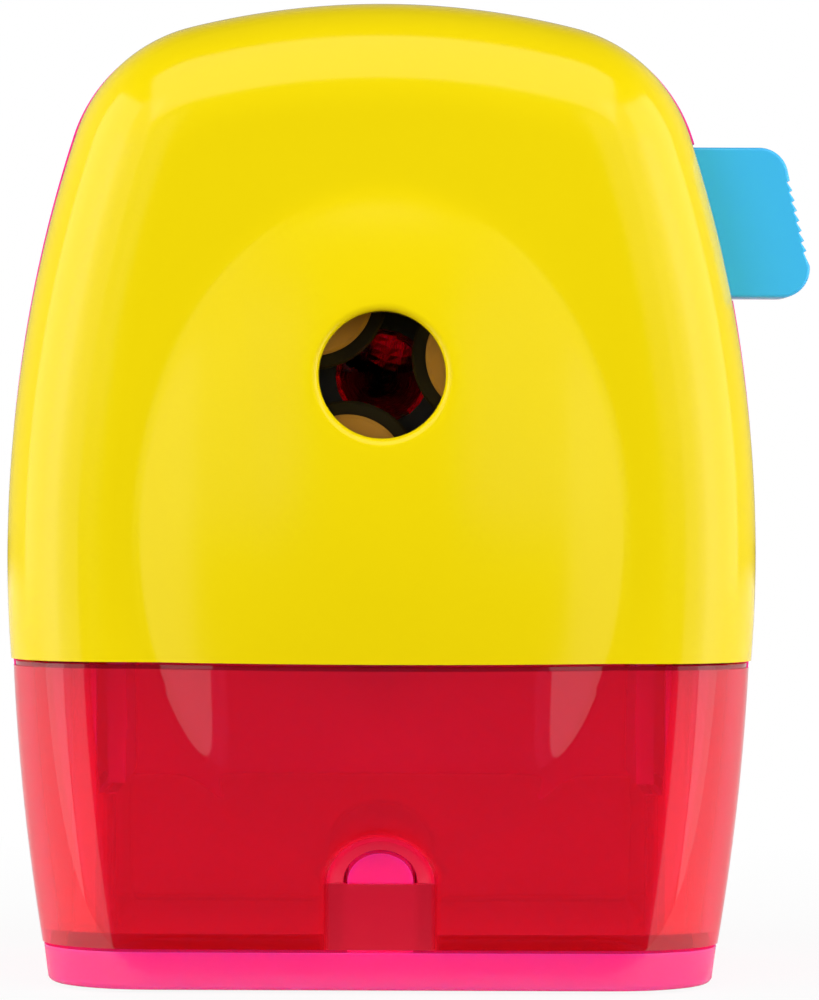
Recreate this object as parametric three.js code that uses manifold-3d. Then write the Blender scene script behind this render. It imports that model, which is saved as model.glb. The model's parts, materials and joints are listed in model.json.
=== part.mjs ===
// A hand-cranked desk pencil sharpener as an assembly of separate pieces. Millimetres, +Z up.
// The pencil goes in along +Y on the plane x = 0, the front faces -Y, and z = 0 is the desk.
// The front cover and the rear housing meet at one upright joint line; the drawer fills the
// front below the cover. A lever at the right opens three jaws, and a crank at the back turns
// the carrier, whose helical cutter rolls in a fixed bevel ring gear.
import * as THREE from "three";
import { mergeVertices } from "three/addons/utils/BufferGeometryUtils.js";
import Module from "manifold-3d";

const wasm = await Module();
wasm.setup();

// ---- Body: outline seen from the front, a chain of tangent arcs ----
const BODY_H = 99.8; // top of the cover above the desk
const BODY_HALF_W = 38.1; // half the cover's width where it is widest
const WIDEST_Z = 43.7; // height of that widest place
const TOP_R = 80.2; // flat arc across the top
const CORNER_R = 16.4; // shoulder between top and side
const SIDE_R = 136.5; // bowed upper side
const DRAWER_FLANK_R = 234; // bowed side of the drawer, below the widest place
const DRAWER_INSET = 0.4; // drawer side set in from the cover's side
const HOUSING_FLANK_R = 120; // housing's side just below its widest place
const HOUSING_HEEL_R = 1100; // nearly straight side of the housing behind the drawer
const REAR_PROUD = 0.22; // housing side stands out from the cover's side
const REAR_LIFT = 1; // housing is widest this much higher than the cover

// ---- Body: depth ----
const EDGE_R = 11; // round between the face and the sides and top
const REAR_R = 7; // round at the rear wall
const COVER_DEPTH = 14.3; // flat of the face to the joint line
const WALL = 2.2; // cover and housing wall
const GAP = 0.3; // clearance between neighbouring pieces
const RUNNING = 0.2; // clearance round a pin or shaft that turns
const SEATED = 0.1; // clearance under a screw's head
const SILL_Z = 4.07; // top of the housing's floor
const FOOT_PROUD = 0.3; // rubber feet stand below the housing
const UNDER_R = 3; // round along the housing's lower side edges
const DOME_TAPER = 0.6; // hollow side of the dome is this share of the wall smaller all round

// ---- Oval dome on the face, shared by cover and drawer ----
const DOME_HALF_W = 24.6;
const DOME_HALF_H = 34.85;
const DOME_PROUD = 5.5;
const DOME_Z = 45.55;

// ---- Pencil axis, hole and jaws ----
const AXIS_DROP = 37.9; // pencil axis below the top of the cover
const SEAM_DROP = 28.8; // cover's lower edge below the pencil axis
const HOLE_R = 6.34;
const COLLAR_WALL = 1.9;
const JAW_COUNT = 3;
const JAW_AT = 10.8; // direction of the first jaw, degrees from +X towards +Z
const GRIP_R = 3.15; // radius left between the closed jaws
const LOBE_R = 7.45; // gripping lobe of a jaw
const LOBE_STEP = 1.39; // front tier of the lobe is this much smaller
const JAW_ARM = 7; // pivot lies this far along the tangent from the lobe's centre
const JAW_T = 2.4;
const JAW_SWING = 12; // degrees a jaw turns to open
const EYE_R = 2.9;
const POST_R = 1.4;
const CAM_PIN_R = 1.1;
const CAM_PIN_AT = 13.5; // cam pin's distance from the pencil axis, jaws closed
const SLOT_PLAY = 0.21; // cam slot's clearance round the pin

// ---- Cam ring and chuck plate ----
const RING_T = 2;
const RING_R = 18.2;
const RING_BORE_R = 9.5;
const SECTOR_R = 20; // pitch radius of the toothed sector
const SECTOR_SPARE = 0.16; // toothed this far past the travel at each end, radians
const RACK_MODULE = 0.8;
const PRESSURE_ANGLE = 20; // of every tooth, degrees
const RACK_TIP = 0.9; // tooth's tip and root off the pitch line, in modules
const RACK_ROOT = 1.15;
const PLATE_T = 2;
const PLATE_R = 19.5;
const PLATE_HOLE_R = 4.75;
const COLLAR_RIM = 1.2; // wall of the plate's collar, which centres the ring
const TONGUE_W = 16; // tongue that backs the rack bar
const LUG_AT = 23.5; // chuck screws' distance from the pencil axis
const LUG_R = 3;
const LUG_ANGLES = [30, 150, 270];

// ---- Clamp lever ----
const LEVER_TRAVEL = 6;
const LEVER_H = 15.4;
const LEVER_RISE = 23.6; // lever's top above the pencil axis
const LEVER_PROUD = 8.62; // sticks out from the housing's side at rest
const LEVER_LEAN = 13.4; // slope of its grip from upright, degrees
const LEVER_T = 8;
const LEVER_ROUND = 3;
const GRIP_PITCH = 1.02;
const GRIP_TEETH = 8;
const GRIP_DEPTH = 0.4;
const LEVER_IN_X = 26;
const WEB_X = 20;
const WEB_T = 4.5;
const STOP_LUG = 3; // lug behind the housing's wall, which stops the lever on its way out
const RACK_LEFT = 12; // rack bar reaches this far left of the axis
const RACK_SPARE = 4; // toothed this far past the travel at each end
const GUIDE_T = 1.6; // ribs that guide the rack bar and hold the spring
const SPRING_ROOM = 8.98; // cover's side to the spring's fixed end
const SPRING_R = 1.9;
const SPRING_WIRE_R = 0.3;
const SPRING_TURNS = 6;
const NOSE_R = 1.2; // spring's seats at both ends
const NOSE_L = 2;

// ---- Cutter unit ----
const POINT_HALF_ANGLE = 11; // half the pencil point's angle, degrees
const PENCIL_R = 4; // largest pencil
const CUTTER_R = 4.6;
const CUTTER_TEETH = 16;
const CUTTER_TOOTH_H = 0.7;
const CUTTER_HELIX = 25; // degrees
const CUTTER_PAST = 1.2; // cutter starts this far before the point
const CUTTER_CLEAR = 1.6; // carrier's front flange to the cutter
const CUTTER_ROOM = 0.5; // round the cutter in its pocket
const AXLE_R = 1;
const AXLE_SEAT = 2; // axle's hole runs this far into the carrier at each end
const GEAR_MODULE = 0.8;
const PINION_TEETH = 13;
const RING_TEETH = 23;
const GEAR_FACE = 3;
const GEAR_TIP = 0.8; // tooth's tip and root off the pitch cone, in modules
const GEAR_ROOT = 1;
const GEAR_SLACK = 0.22; // backlash
const FLANGE_R = 11.6;
const FLANGE_T = 2.6;
const TAIL_FLANGE_T = 2.5; // carrier's rear flange, behind the pinion
const CARRIER_PLAY = 0.4; // room at the carrier's faces
const BUSH_HOLD = 8.06; // chamber's end to the rear wall, which holds the bush
const BEARING_WALL = 1.7; // rim of the chuck plate that carries the carrier's front flange
const GUIDE_R = 4.3;
const NECK_R = 6.8;
const BODY_R = 8.6;
const POINT_END_R = 0.6; // flat end of the cone that the pencil's point runs in
const SHAFT_R = 3;
const HUB_R = 12.8;
const HUB_FLANGE_R = 15.5;
const HUB_FLANGE_T = 2.7;
const HUB_SCREW_AT = 12.4;
const HUB_RIM = 0.6; // plain rim in front of the ring gear
const HUB_WALL = 1.5; // wall round the carrier's neck
const BUSH_R = 4.6;
const BUSH_WALL = 2.4; // hub's wall round the bush
const BUSH_FLANGE = 1.6;
const BUSH_PROUD = 1; // bush's flange stands out behind the rear wall

// ---- Crank ----
const CRANK_R = 30;
const ARM_T = 4;
const ARM_BOSS_R = 6.6;
const ARM_EYE_R = 5.2;
const ARM_RIM = 1.7; // rim round the dished rear face of the arm
const ARM_DISH = 0.7;
const KNOB_R = 7;
const KNOB_L = 22;
const KNOB_NECK_R = 4.6; // knob's narrow end, next to the arm
const KNOB_END_R = 4.8;
const KNOB_PIN_R = 1.8;
const PIN_HEAD_R = 3.1;
const PIN_HEAD_T = 0.8;
const PIN_SUNK = 0.4; // pin's outer head lies this deep in the knob's end
const SHAFT_OUT = 6.5; // shaft sticks out behind the rear wall

// ---- Drawer ----
const DRAWER_WALL = 1.6;
const DRAWER_FLOOR = 1.5;
const DRAWER_DROP = 0.7; // drawer's top below the cover's edge
const LIP_H = 0.45; // thin lip along the drawer's top edge, set back from its face
const LIP_BACK = 0.7;
const BOX_BACK = 5.5; // shavings box ends this far before the rear wall's outside
const BOX_TOP = 19.2;
const BOX_WALL = 1.4;
const SIDE_BAND = 7.6; // drawer front's closed back beside the box, in from its side
const BOX_PLAY = 0.8; // shavings box to the housing's guide walls
const GUIDE_WALL = 1.5;
const RAIL_Z = 11; // centre of the rail's round top, and the pull's ledge
const RAIL_R = 3.3;
const TUNNEL_R = 3.75;
const TUNNEL_OUT_R = 5.7;
const PULL_R = 5.4;
const PULL_DEPTH = 2.3;

// ---- Housing inside and fasteners ----
const CHUTE_X = 28.5;
const CHUTE_T = 2;
const CHUTE_FRONT_Y = -4;
const CHUTE_TOP = 46;
const CHUTE_CLEAR = 0.5; // over the shavings box
const TOP_POST_X = 21;
const TOP_POST_DROP = 9.3; // below the top of the cover
const LOW_POST_X = 30.5;
const LOW_POST_RISE = 5.4; // above the seam
const COVER_POST_R = 3.2;
const HOUSING_POST_R = 4.1;
const SCREW_R = 1.2;
const SCREW_HEAD_R = 2.6;
const SCREW_HEAD_T = 1.6;
const SCREW_L = 12;
const SCREW_DEEP = 6; // head's seat behind the joint line
const PILOT_SPARE = 2; // pilot hole runs this far past the screw
const CRANK_SCREW_L = 7;
const CRANK_HEAD_R = 3.4;
const SMALL_SCREW_R = 0.9;
const SMALL_HEAD_R = 2;
const SMALL_HEAD_T = 1.2;
const SMALL_SCREW_L = 6;
const HUB_SCREW_L = 4;
const FOOT_R = 4;
const FOOT_H = 1.3;
const FOOT_IN = 9; // foot's centre from the housing's edges
const POCKET_DEEP = 1.6; // moulding pockets in the underside
const POCKET_SIDE = 3; // pocket's side in from the shavings box's side
const KEEL_W = 16; // flat strip between the pockets

// ---- Derived places: depths behind the flat of the face, then places along Y ----
const AXIS_Z = BODY_H - AXIS_DROP;
const SEAM_Z = AXIS_Z - SEAM_DROP;
const LOBE_AT = GRIP_R + LOBE_R;
const RING_SWING = LEVER_TRAVEL / SECTOR_R; // radians
const SLANT = THREE.MathUtils.degToRad(POINT_HALF_ANGLE);
const JAW_IN = WALL + GAP;
const RING_IN = JAW_IN + JAW_T + GAP;
const PLATE_IN = RING_IN + RING_T + GAP;
const CARRIER_IN = PLATE_IN + PLATE_T + CARRIER_PLAY;
const POINT_IN = CARRIER_IN + FLANGE_T + CUTTER_CLEAR + CUTTER_PAST; // the pencil's cone begins
const TIP_IN = POINT_IN + PENCIL_R / Math.tan(SLANT);
const APEX_IN = TIP_IN + CUTTER_R / Math.sin(SLANT); // the cutter's axis meets the pencil's
const PINION_CONE = Math.atan(Math.sin(SLANT) / (RING_TEETH / PINION_TEETH - Math.cos(SLANT)));
const RING_CONE = PINION_CONE + SLANT;
const CONE_DISTANCE = (GEAR_MODULE * PINION_TEETH) / 2 / Math.sin(PINION_CONE);
const RING_GEAR_IN = APEX_IN - CONE_DISTANCE * Math.cos(RING_CONE); // its wide end
const RING_GEAR_OUT = RING_GEAR_IN + GEAR_FACE * Math.cos(RING_CONE);
const CHAMBER_OUT = RING_GEAR_OUT + TAIL_FLANGE_T + 2 * CARRIER_PLAY;
const BODY_DEPTH = CHAMBER_OUT + BUSH_HOLD; // flat of the face to the rear wall

const FRONT_Y = -BODY_DEPTH / 2;
const REAR_Y = BODY_DEPTH / 2;
const PART_Y = FRONT_Y + COVER_DEPTH;
const FACE_IN_Y = FRONT_Y + WALL;
const DOME_TOP_Y = FRONT_Y - DOME_PROUD;
const JAW_Y = FRONT_Y + JAW_IN;
const RING_Y = FRONT_Y + RING_IN;
const PLATE_Y = FRONT_Y + PLATE_IN;
const CARRIER_Y = FRONT_Y + CARRIER_IN;
const POINT_Y = FRONT_Y + POINT_IN;
const TIP_Y = FRONT_Y + TIP_IN;
const APEX_Y = FRONT_Y + APEX_IN;
const RING_GEAR_Y = FRONT_Y + RING_GEAR_IN;
const RING_GEAR_END = FRONT_Y + RING_GEAR_OUT;
const CHAMBER_END = FRONT_Y + CHAMBER_OUT;
const SHAFT_END = REAR_Y + SHAFT_OUT;
const ARM_Y = SHAFT_END - ARM_T - GAP;
const KNOB_Y = ARM_Y + ARM_T + GAP;
const LEVER_TOP = AXIS_Z + LEVER_RISE;
const RACK_PITCH_Z = AXIS_Z + SECTOR_R;
const DRAWER_BOTTOM = SILL_Z + GAP;
const DRAWER_TOP = SEAM_Z - DRAWER_DROP;
const WING_END = PART_Y - GAP;

const COVER_FORM = { height: BODY_H, halfWidth: BODY_HALF_W, widest: WIDEST_Z, flankR: SIDE_R };
const DRAWER_FORM = {
  height: BODY_H,
  halfWidth: BODY_HALF_W - DRAWER_INSET,
  widest: WIDEST_Z,
  flankR: DRAWER_FLANK_R,
};
const HOUSING_FORM = {
  height: BODY_H + REAR_PROUD / 2,
  halfWidth: BODY_HALF_W + REAR_PROUD,
  widest: WIDEST_Z + REAR_LIFT,
  flankR: HOUSING_FLANK_R,
  heelR: HOUSING_HEEL_R,
  bend: DRAWER_TOP - LIP_H,
};

const radians = THREE.MathUtils.degToRad;

// ---------------------------------------------------------------- solids

// A closed geometry as a solid, with its faces turned out whichever way its profile ran.
function solid(geometry) {
  const bare = new THREE.BufferGeometry();
  bare.setAttribute("position", geometry.getAttribute("position"));
  if (geometry.index) bare.setIndex(geometry.index);
  const merged = mergeVertices(bare, 1e-4);
  const corners = merged.index.array;
  const kept = [];
  for (let i = 0; i < corners.length; i += 3) {
    const [a, b, c] = corners.slice(i, i + 3);
    if (a !== b && b !== c && c !== a) kept.push([a, b, c]);
  }
  const vertProperties = new Float32Array(merged.attributes.position.array);
  const make = (faces) =>
    new wasm.Manifold(
      new wasm.Mesh({ numProp: 3, vertProperties, triVerts: new Uint32Array(faces.flat()) }),
    );
  const made = make(kept);
  return made.volume() < 0 ? make(kept.map(([a, b, c]) => [a, c, b])) : made;
}

function join(...solids) {
  return solids.reduce((whole, piece) => whole.add(piece));
}

function cut(whole, ...solids) {
  return solids.reduce((rest, piece) => rest.subtract(piece), whole);
}

function box(x0, x1, y0, y1, z0, z1) {
  const geometry = new THREE.BoxGeometry(x1 - x0, y1 - y0, z1 - z0);
  return solid(geometry.translate((x0 + x1) / 2, (y0 + y1) / 2, (z0 + z1) / 2));
}

// A flat shape drawn in x and z, made thick from y0 to y1.
function slab(shape, y0, y1, curveSegments = 9) {
  const options = { depth: y1 - y0, bevelEnabled: false, curveSegments };
  const geometry = new THREE.ExtrudeGeometry(shape, options);
  return solid(geometry.rotateX(Math.PI / 2).translate(0, y1, 0));
}

// A round bar along Y.
function rod(radius, y0, y1, x = 0, z = AXIS_Z, sides = 16) {
  const geometry = new THREE.CylinderGeometry(radius, radius, y1 - y0, sides);
  return solid(geometry.translate(x, (y0 + y1) / 2, z));
}

// A profile of [radius, y] turned about an axis along Y.
function turned(profile, x = 0, z = AXIS_Z, sides = 20) {
  const points = profile.map(([radius, y]) => new THREE.Vector2(radius, y));
  return solid(new THREE.LatheGeometry(points, sides).translate(x, 0, z));
}

// Rings of equal count joined one to the next, with flat ends. Every ring lies in a plane of y.
function loft(rings) {
  const count = rings[0].length;
  const index = [];
  for (let k = 0; k + 1 < rings.length; k++) {
    for (let i = 0; i < count; i++) {
      const a = k * count + i;
      const b = k * count + ((i + 1) % count);
      index.push(a, b, b + count, a, b + count, a + count);
    }
  }
  for (const k of [0, rings.length - 1]) {
    const flat = rings[k].map((p) => new THREE.Vector2(p.x, p.z));
    const along = Math.sign(THREE.ShapeUtils.area(flat));
    for (const [a, b, c] of THREE.ShapeUtils.triangulateShape(flat, [])) {
      const turn = Math.sign(THREE.ShapeUtils.area([flat[a], flat[b], flat[c]]));
      const face = (turn === along) === (k > 0) ? [a, b, c] : [a, c, b];
      index.push(...face.map((i) => i + k * count));
    }
  }
  const geometry = new THREE.BufferGeometry().setFromPoints(rings.flat());
  geometry.setIndex(index);
  return solid(geometry);
}

// A closed outline with its corners rounded by a radius each.
function roundedShape(points, radii) {
  const shape = new THREE.Shape();
  points.forEach((point, i) => {
    const before = points[(i + points.length - 1) % points.length];
    const after = points[(i + 1) % points.length];
    const back = before.clone().sub(point).normalize();
    const ahead = after.clone().sub(point).normalize();
    const reach = radii[i] / Math.tan(back.angleTo(ahead) / 2);
    const start = back.multiplyScalar(reach).add(point);
    const end = ahead.multiplyScalar(reach).add(point);
    if (i === 0) shape.moveTo(start.x, start.y);
    else shape.lineTo(start.x, start.y);
    if (reach > 0) shape.quadraticCurveTo(point.x, point.y, end.x, end.y);
  });
  return shape;
}

function mesh(name, piece, material) {
  let geometry = piece;
  if (piece instanceof wasm.Manifold) {
    const made = piece.getMesh();
    geometry = new THREE.BufferGeometry();
    const positions = new THREE.BufferAttribute(made.vertProperties, made.numProp);
    geometry.setAttribute("position", positions);
    geometry.setIndex(new THREE.BufferAttribute(made.triVerts, 1));
    geometry.computeVertexNormals();
  }
  const part = new THREE.Mesh(geometry, material);
  part.name = name;
  return part;
}

// ---------------------------------------------------------------- body form

// The place right of centre where two circles about a and b meet.
function circlesMeet(a, ra, b, rb) {
  const apart = b.clone().sub(a);
  const d = apart.length();
  const along = (ra * ra - rb * rb + d * d) / (2 * d);
  const off = Math.sqrt(ra * ra - along * along);
  const unit = apart.divideScalar(d);
  const foot = a.clone().addScaledVector(unit, along);
  const sides = [off, -off].map((s) => new THREE.Vector2(foot.x - unit.y * s, foot.y + unit.x * s));
  return sides[0].x > sides[1].x ? sides[0] : sides[1];
}

// The circles that the body's side follows, from the bowed side down: each meets the next in a
// smooth line, at the widest place and, on a form that has a heel, at the bend.
function sideCircles(form) {
  const circle = (radius) => ({
    centre: new THREE.Vector2(form.halfWidth - radius, form.widest),
    radius,
  });
  const circles = [circle(SIDE_R), circle(form.flankR)];
  if (form.heelR) {
    const lean = Math.asin((form.bend - form.widest) / form.flankR);
    const inwards = new THREE.Vector2(form.flankR - form.heelR, 0);
    const centre = circles[1].centre.clone().add(inwards.rotateAround(new THREE.Vector2(), lean));
    circles.push({ centre, radius: form.heelR, lean });
  }
  return circles;
}

// Half the body's width at a height.
function halfWidthAt(form, z) {
  const [side, flank, heel] = sideCircles(form);
  let circle = side;
  if (z < form.widest) circle = heel && z < form.bend ? heel : flank;
  return circle.centre.x + Math.sqrt(circle.radius ** 2 - (z - circle.centre.y) ** 2);
}

// The outline set in by a distance, from the right foot over the top to the left foot.
function outline(form, inset, bottom, footRound = 0) {
  const top = new THREE.Vector2(0, form.height - TOP_R);
  const [side, flank, heel] = sideCircles(form);
  const corner = circlesMeet(top, TOP_R - CORNER_R, side.centre, SIDE_R - CORNER_R);
  const sideEnd = Math.atan2(corner.y - side.centre.y, corner.x - side.centre.x);
  const topStart = Math.atan2(corner.y - top.y, corner.x - top.x);
  const low = heel ?? flank;
  const lowR = low.radius - inset;
  const footAngle = Math.asin((bottom + footRound - low.centre.y) / lowR);
  const right = [];
  const arc = (centre, radius, from, to, steps) => {
    for (let i = 0; i <= steps; i++) {
      const angle = from + ((to - from) * i) / steps;
      const x = centre.x + radius * Math.cos(angle);
      right.push(new THREE.Vector2(x, centre.y + radius * Math.sin(angle)));
    }
    right.pop();
  };
  if (footRound > 0) {
    const footX = low.centre.x + (lowR - footRound) * Math.cos(footAngle);
    const round = new THREE.Vector2(footX, bottom + footRound);
    arc(round, footRound, -Math.PI / 2, footAngle, 3);
  }
  if (heel) arc(heel.centre, lowR, footAngle, heel.lean, 1);
  arc(flank.centre, flank.radius - inset, heel ? heel.lean : footAngle, 0, heel ? 2 : 3);
  arc(side.centre, SIDE_R - inset, 0, sideEnd, 3);
  arc(corner, CORNER_R - inset, sideEnd, topStart, 5);
  arc(top, TOP_R - inset, topStart, Math.PI / 2, 3);
  const left = right.map((p) => new THREE.Vector2(-p.x, p.y)).reverse();
  return [...right, new THREE.Vector2(0, form.height - inset), ...left];
}

// A body solid between two planes of y, set in by `inset` all round, with rounded ends where a
// round is given. The centres of the rounds stay put, so a wall keeps its thickness round them.
function bodySolid(form, inset, front, rear, bottom, footRound = 0) {
  const steps = inset > 0 ? 3 : 5;
  const stations = [];
  const round = (end, way) => {
    const radius = end.round - inset;
    for (let i = 0; i <= steps; i++) {
      const angle = ((Math.PI / 2) * i) / steps;
      const depth = inset + radius * (1 - Math.cos(angle));
      const station = { y: end.y + way * depth, inset: inset + radius * (1 - Math.sin(angle)) };
      stations.push(station);
    }
  };
  if (front.round) round(front, 1);
  else stations.push({ y: front.y, inset });
  if (rear.round) {
    round(rear, -1);
    const turnedRound = stations.splice(-steps - 1).reverse();
    stations.push(...turnedRound);
  } else stations.push({ y: rear.y, inset });
  return loft(
    stations.map((s) =>
      outline(form, s.inset, bottom, footRound).map((p) => new THREE.Vector3(p.x, s.y, p.y)),
    ),
  );
}

// The oval dome as a solid reaching back into the wall; inset gives its hollow side.
function dome(inset) {
  const steps = inset > 0 ? 3 : 5;
  const profile = [];
  for (let i = 0; i <= steps; i++) {
    const r = i / steps;
    profile.push(new THREE.Vector2(r, DOME_PROUD * (1 - r * r)));
  }
  profile.push(new THREE.Vector2(1, -WALL), new THREE.Vector2(0, -WALL));
  const geometry = new THREE.LatheGeometry(profile, inset > 0 ? 24 : 32);
  const shrink = inset * DOME_TAPER;
  geometry.scale(DOME_HALF_W - shrink, -1, DOME_HALF_H - shrink);
  return solid(geometry.translate(0, FRONT_Y + inset, DOME_Z));
}

const FAR = 3 * BODY_H; // beyond the body in every direction

function below(z) {
  return box(-FAR, FAR, -FAR, FAR, -FAR, z);
}

function above(z) {
  return box(-FAR, FAR, -FAR, FAR, z, FAR);
}

// ---------------------------------------------------------------- front cover

// Places round the pencil axis: a radius and an angle in degrees from +X towards +Z.
function polar(radius, degrees) {
  const angle = radians(degrees);
  return [radius * Math.cos(angle), AXIS_Z + radius * Math.sin(angle)];
}

function jawAngle(i) {
  return JAW_AT + (i * 360) / JAW_COUNT;
}

// A point given as radial and tangential distances in a jaw's own directions.
function jawPoint(i, radial, tangential) {
  const angle = radians(jawAngle(i));
  const x = radial * Math.cos(angle) - tangential * Math.sin(angle);
  const z = radial * Math.sin(angle) + tangential * Math.cos(angle);
  return [x, AXIS_Z + z];
}

function frontCover() {
  const outer = join(
    bodySolid(COVER_FORM, 0, { y: FRONT_Y, round: EDGE_R }, { y: PART_Y }, 0),
    dome(0),
  );
  const inner = join(
    bodySolid(COVER_FORM, WALL, { y: FRONT_Y, round: EDGE_R }, { y: PART_Y + WALL }, -WALL),
    dome(WALL),
  );
  const collar = rod(HOLE_R + COLLAR_WALL, DOME_TOP_Y, FACE_IN_Y, 0, AXIS_Z, 28);
  const fittings = [collar];
  const holes = [rod(HOLE_R, -FAR, FACE_IN_Y + GAP, 0, AXIS_Z, 28)];
  for (let i = 0; i < JAW_COUNT; i++) {
    const [x, z] = jawPoint(i, LOBE_AT, JAW_ARM);
    fittings.push(rod(POST_R, DOME_TOP_Y, JAW_Y + JAW_T, x, z, 12));
  }
  for (const degrees of LUG_ANGLES) {
    const [x, z] = polar(LUG_AT, degrees);
    fittings.push(rod(LUG_R, DOME_TOP_Y, PLATE_Y - GAP / 2, x, z, 14));
    holes.push(rod(SMALL_SCREW_R + GAP / 2, PLATE_Y - SMALL_SCREW_L, PLATE_Y, x, z, 10));
  }
  const pilotEnd = PART_Y + SCREW_DEEP - SCREW_L - PILOT_SPARE;
  for (const [x, z] of postPlaces()) {
    fittings.push(rod(COVER_POST_R, DOME_TOP_Y, PART_Y - GAP / 2, x, z, 14));
    holes.push(rod(SCREW_R + GAP / 2, pilotEnd, PART_Y, x, z, 10));
  }
  fittings.push(rackGuide(), springBracket());
  const shell = cut(outer, inner);
  return cut(join(shell, join(...fittings).intersect(outer)), below(SEAM_Z), ...holes);
}

// Rib above the rack bar that keeps its teeth in the sector, with two pads in front of the bar.
function rackGuide() {
  const top = LEVER_TOP + GAP;
  const left = -RACK_LEFT + 1;
  const right = WEB_X - LEVER_TRAVEL - 1;
  const rib = box(left, right, FRONT_Y, RING_Y + RING_T, top, top + GUIDE_T);
  const pads = [left, right - GUIDE_T].map((x) =>
    box(x, x + GUIDE_T, FRONT_Y, RING_Y - GAP, LEVER_TOP - 2, top + 1),
  );
  return join(rib, ...pads);
}

// Bracket that takes the return spring's fixed end, with a nose inside the coil.
function springBracket() {
  const low = springZ() - SPRING_R - 1;
  const back = RING_Y + RING_T + 0.6;
  const plate = box(-springX() - GUIDE_T, -springX(), FRONT_Y, back, low, LEVER_TOP + 1);
  return join(plate, alongX(NOSE_R, -springX() - 1, -springX() + NOSE_L));
}

function springX() {
  return halfWidthAt(COVER_FORM, springZ()) - SPRING_ROOM;
}

function springZ() {
  return (LEVER_TOP + RACK_PITCH_Z + RACK_MODULE) / 2;
}

// A round bar along X on the spring's line.
function alongX(radius, x0, x1) {
  const geometry = new THREE.CylinderGeometry(radius, radius, x1 - x0, 12).rotateZ(Math.PI / 2);
  return solid(geometry.translate((x0 + x1) / 2, RING_Y + RING_T / 2, springZ()));
}

function postPlaces() {
  const high = BODY_H - TOP_POST_DROP;
  const low = SEAM_Z + LOW_POST_RISE;
  return [[TOP_POST_X, high], [-TOP_POST_X, high], [LOW_POST_X, low], [-LOW_POST_X, low]];
}

// ---------------------------------------------------------------- jaws and cam ring

function disc(x, z, radius) {
  const shape = new THREE.Shape();
  shape.absarc(x, z, radius, 0, Math.PI * 2, false);
  return shape;
}

// A jaw: a stepped lobe that grips, an eye on the cover's post and a pin into the cam ring.
function jaw(i) {
  const [lobeX, lobeZ] = jawPoint(i, LOBE_AT, 0);
  const [eyeX, eyeZ] = jawPoint(i, LOBE_AT, JAW_ARM);
  const [pinX, pinZ] = jawPoint(i, CAM_PIN_AT, 0);
  const half = JAW_Y + JAW_T / 2;
  const end = JAW_Y + JAW_T;
  const body = join(
    slab(disc(lobeX, lobeZ, LOBE_R - LOBE_STEP), JAW_Y, end),
    slab(disc(lobeX, lobeZ, LOBE_R), half, end),
    rod(EYE_R, JAW_Y, end, eyeX, eyeZ, 14),
    rod(CAM_PIN_R, half, RING_Y + RING_T - 0.2, pinX, pinZ, 10),
  );
  return cut(body, rod(POST_R + RUNNING, -FAR, FAR, eyeX, eyeZ, 12));
}

// Where a jaw's cam pin is at a share of its swing, seen in the cam ring's own frame.
function camPinInRing(i, share) {
  const pivot = new THREE.Vector2(LOBE_AT, JAW_ARM);
  const pin = new THREE.Vector2(CAM_PIN_AT, 0);
  pin.rotateAround(pivot, radians(JAW_SWING) * share);
  pin.rotateAround(new THREE.Vector2(0, 0), -RING_SWING * share);
  const [x, z] = jawPoint(i, pin.x, pin.y);
  return new THREE.Vector2(x, z);
}

// The slot that pin sweeps out, with a clearance, as a hole in the ring's shape.
function camSlot(i) {
  const radius = CAM_PIN_R + SLOT_PLAY;
  const steps = 5;
  const path = [];
  for (let k = 0; k <= steps; k++) path.push(camPinInRing(i, k / steps));
  const points = [];
  const off = (centre, angle) => {
    const reach = new THREE.Vector2(Math.cos(angle), Math.sin(angle)).multiplyScalar(radius);
    return reach.add(centre);
  };
  const round = (centre, from) => {
    for (let k = 0; k <= 5; k++) points.push(off(centre, from + (Math.PI * k) / 5));
  };
  const start = path[1].clone().sub(path[0]).angle();
  const end = path[steps].clone().sub(path[steps - 1]).angle();
  const side = (way) =>
    path.slice(1, -1).map((p, k) => {
      const heading = path[k + 2].clone().sub(path[k]).angle();
      return off(p, heading + (way * Math.PI) / 2);
    });
  round(path[0], start + Math.PI / 2);
  points.push(...side(-1));
  round(path[steps], end - Math.PI / 2);
  points.push(...side(1).reverse());
  return new THREE.Path(points);
}

// Half a tooth's width at a distance outside the pitch line.
function halfTooth(module, slack, out) {
  return (Math.PI * module) / 4 - slack / 2 - out * Math.tan(radians(PRESSURE_ANGLE));
}

// A rack tooth's corners about its middle: how far out, in modules, and on which side.
const RACK_TOOTH = [[-RACK_ROOT, -1], [RACK_TIP, -1], [RACK_TIP, 1], [-RACK_ROOT, 1]];

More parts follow.
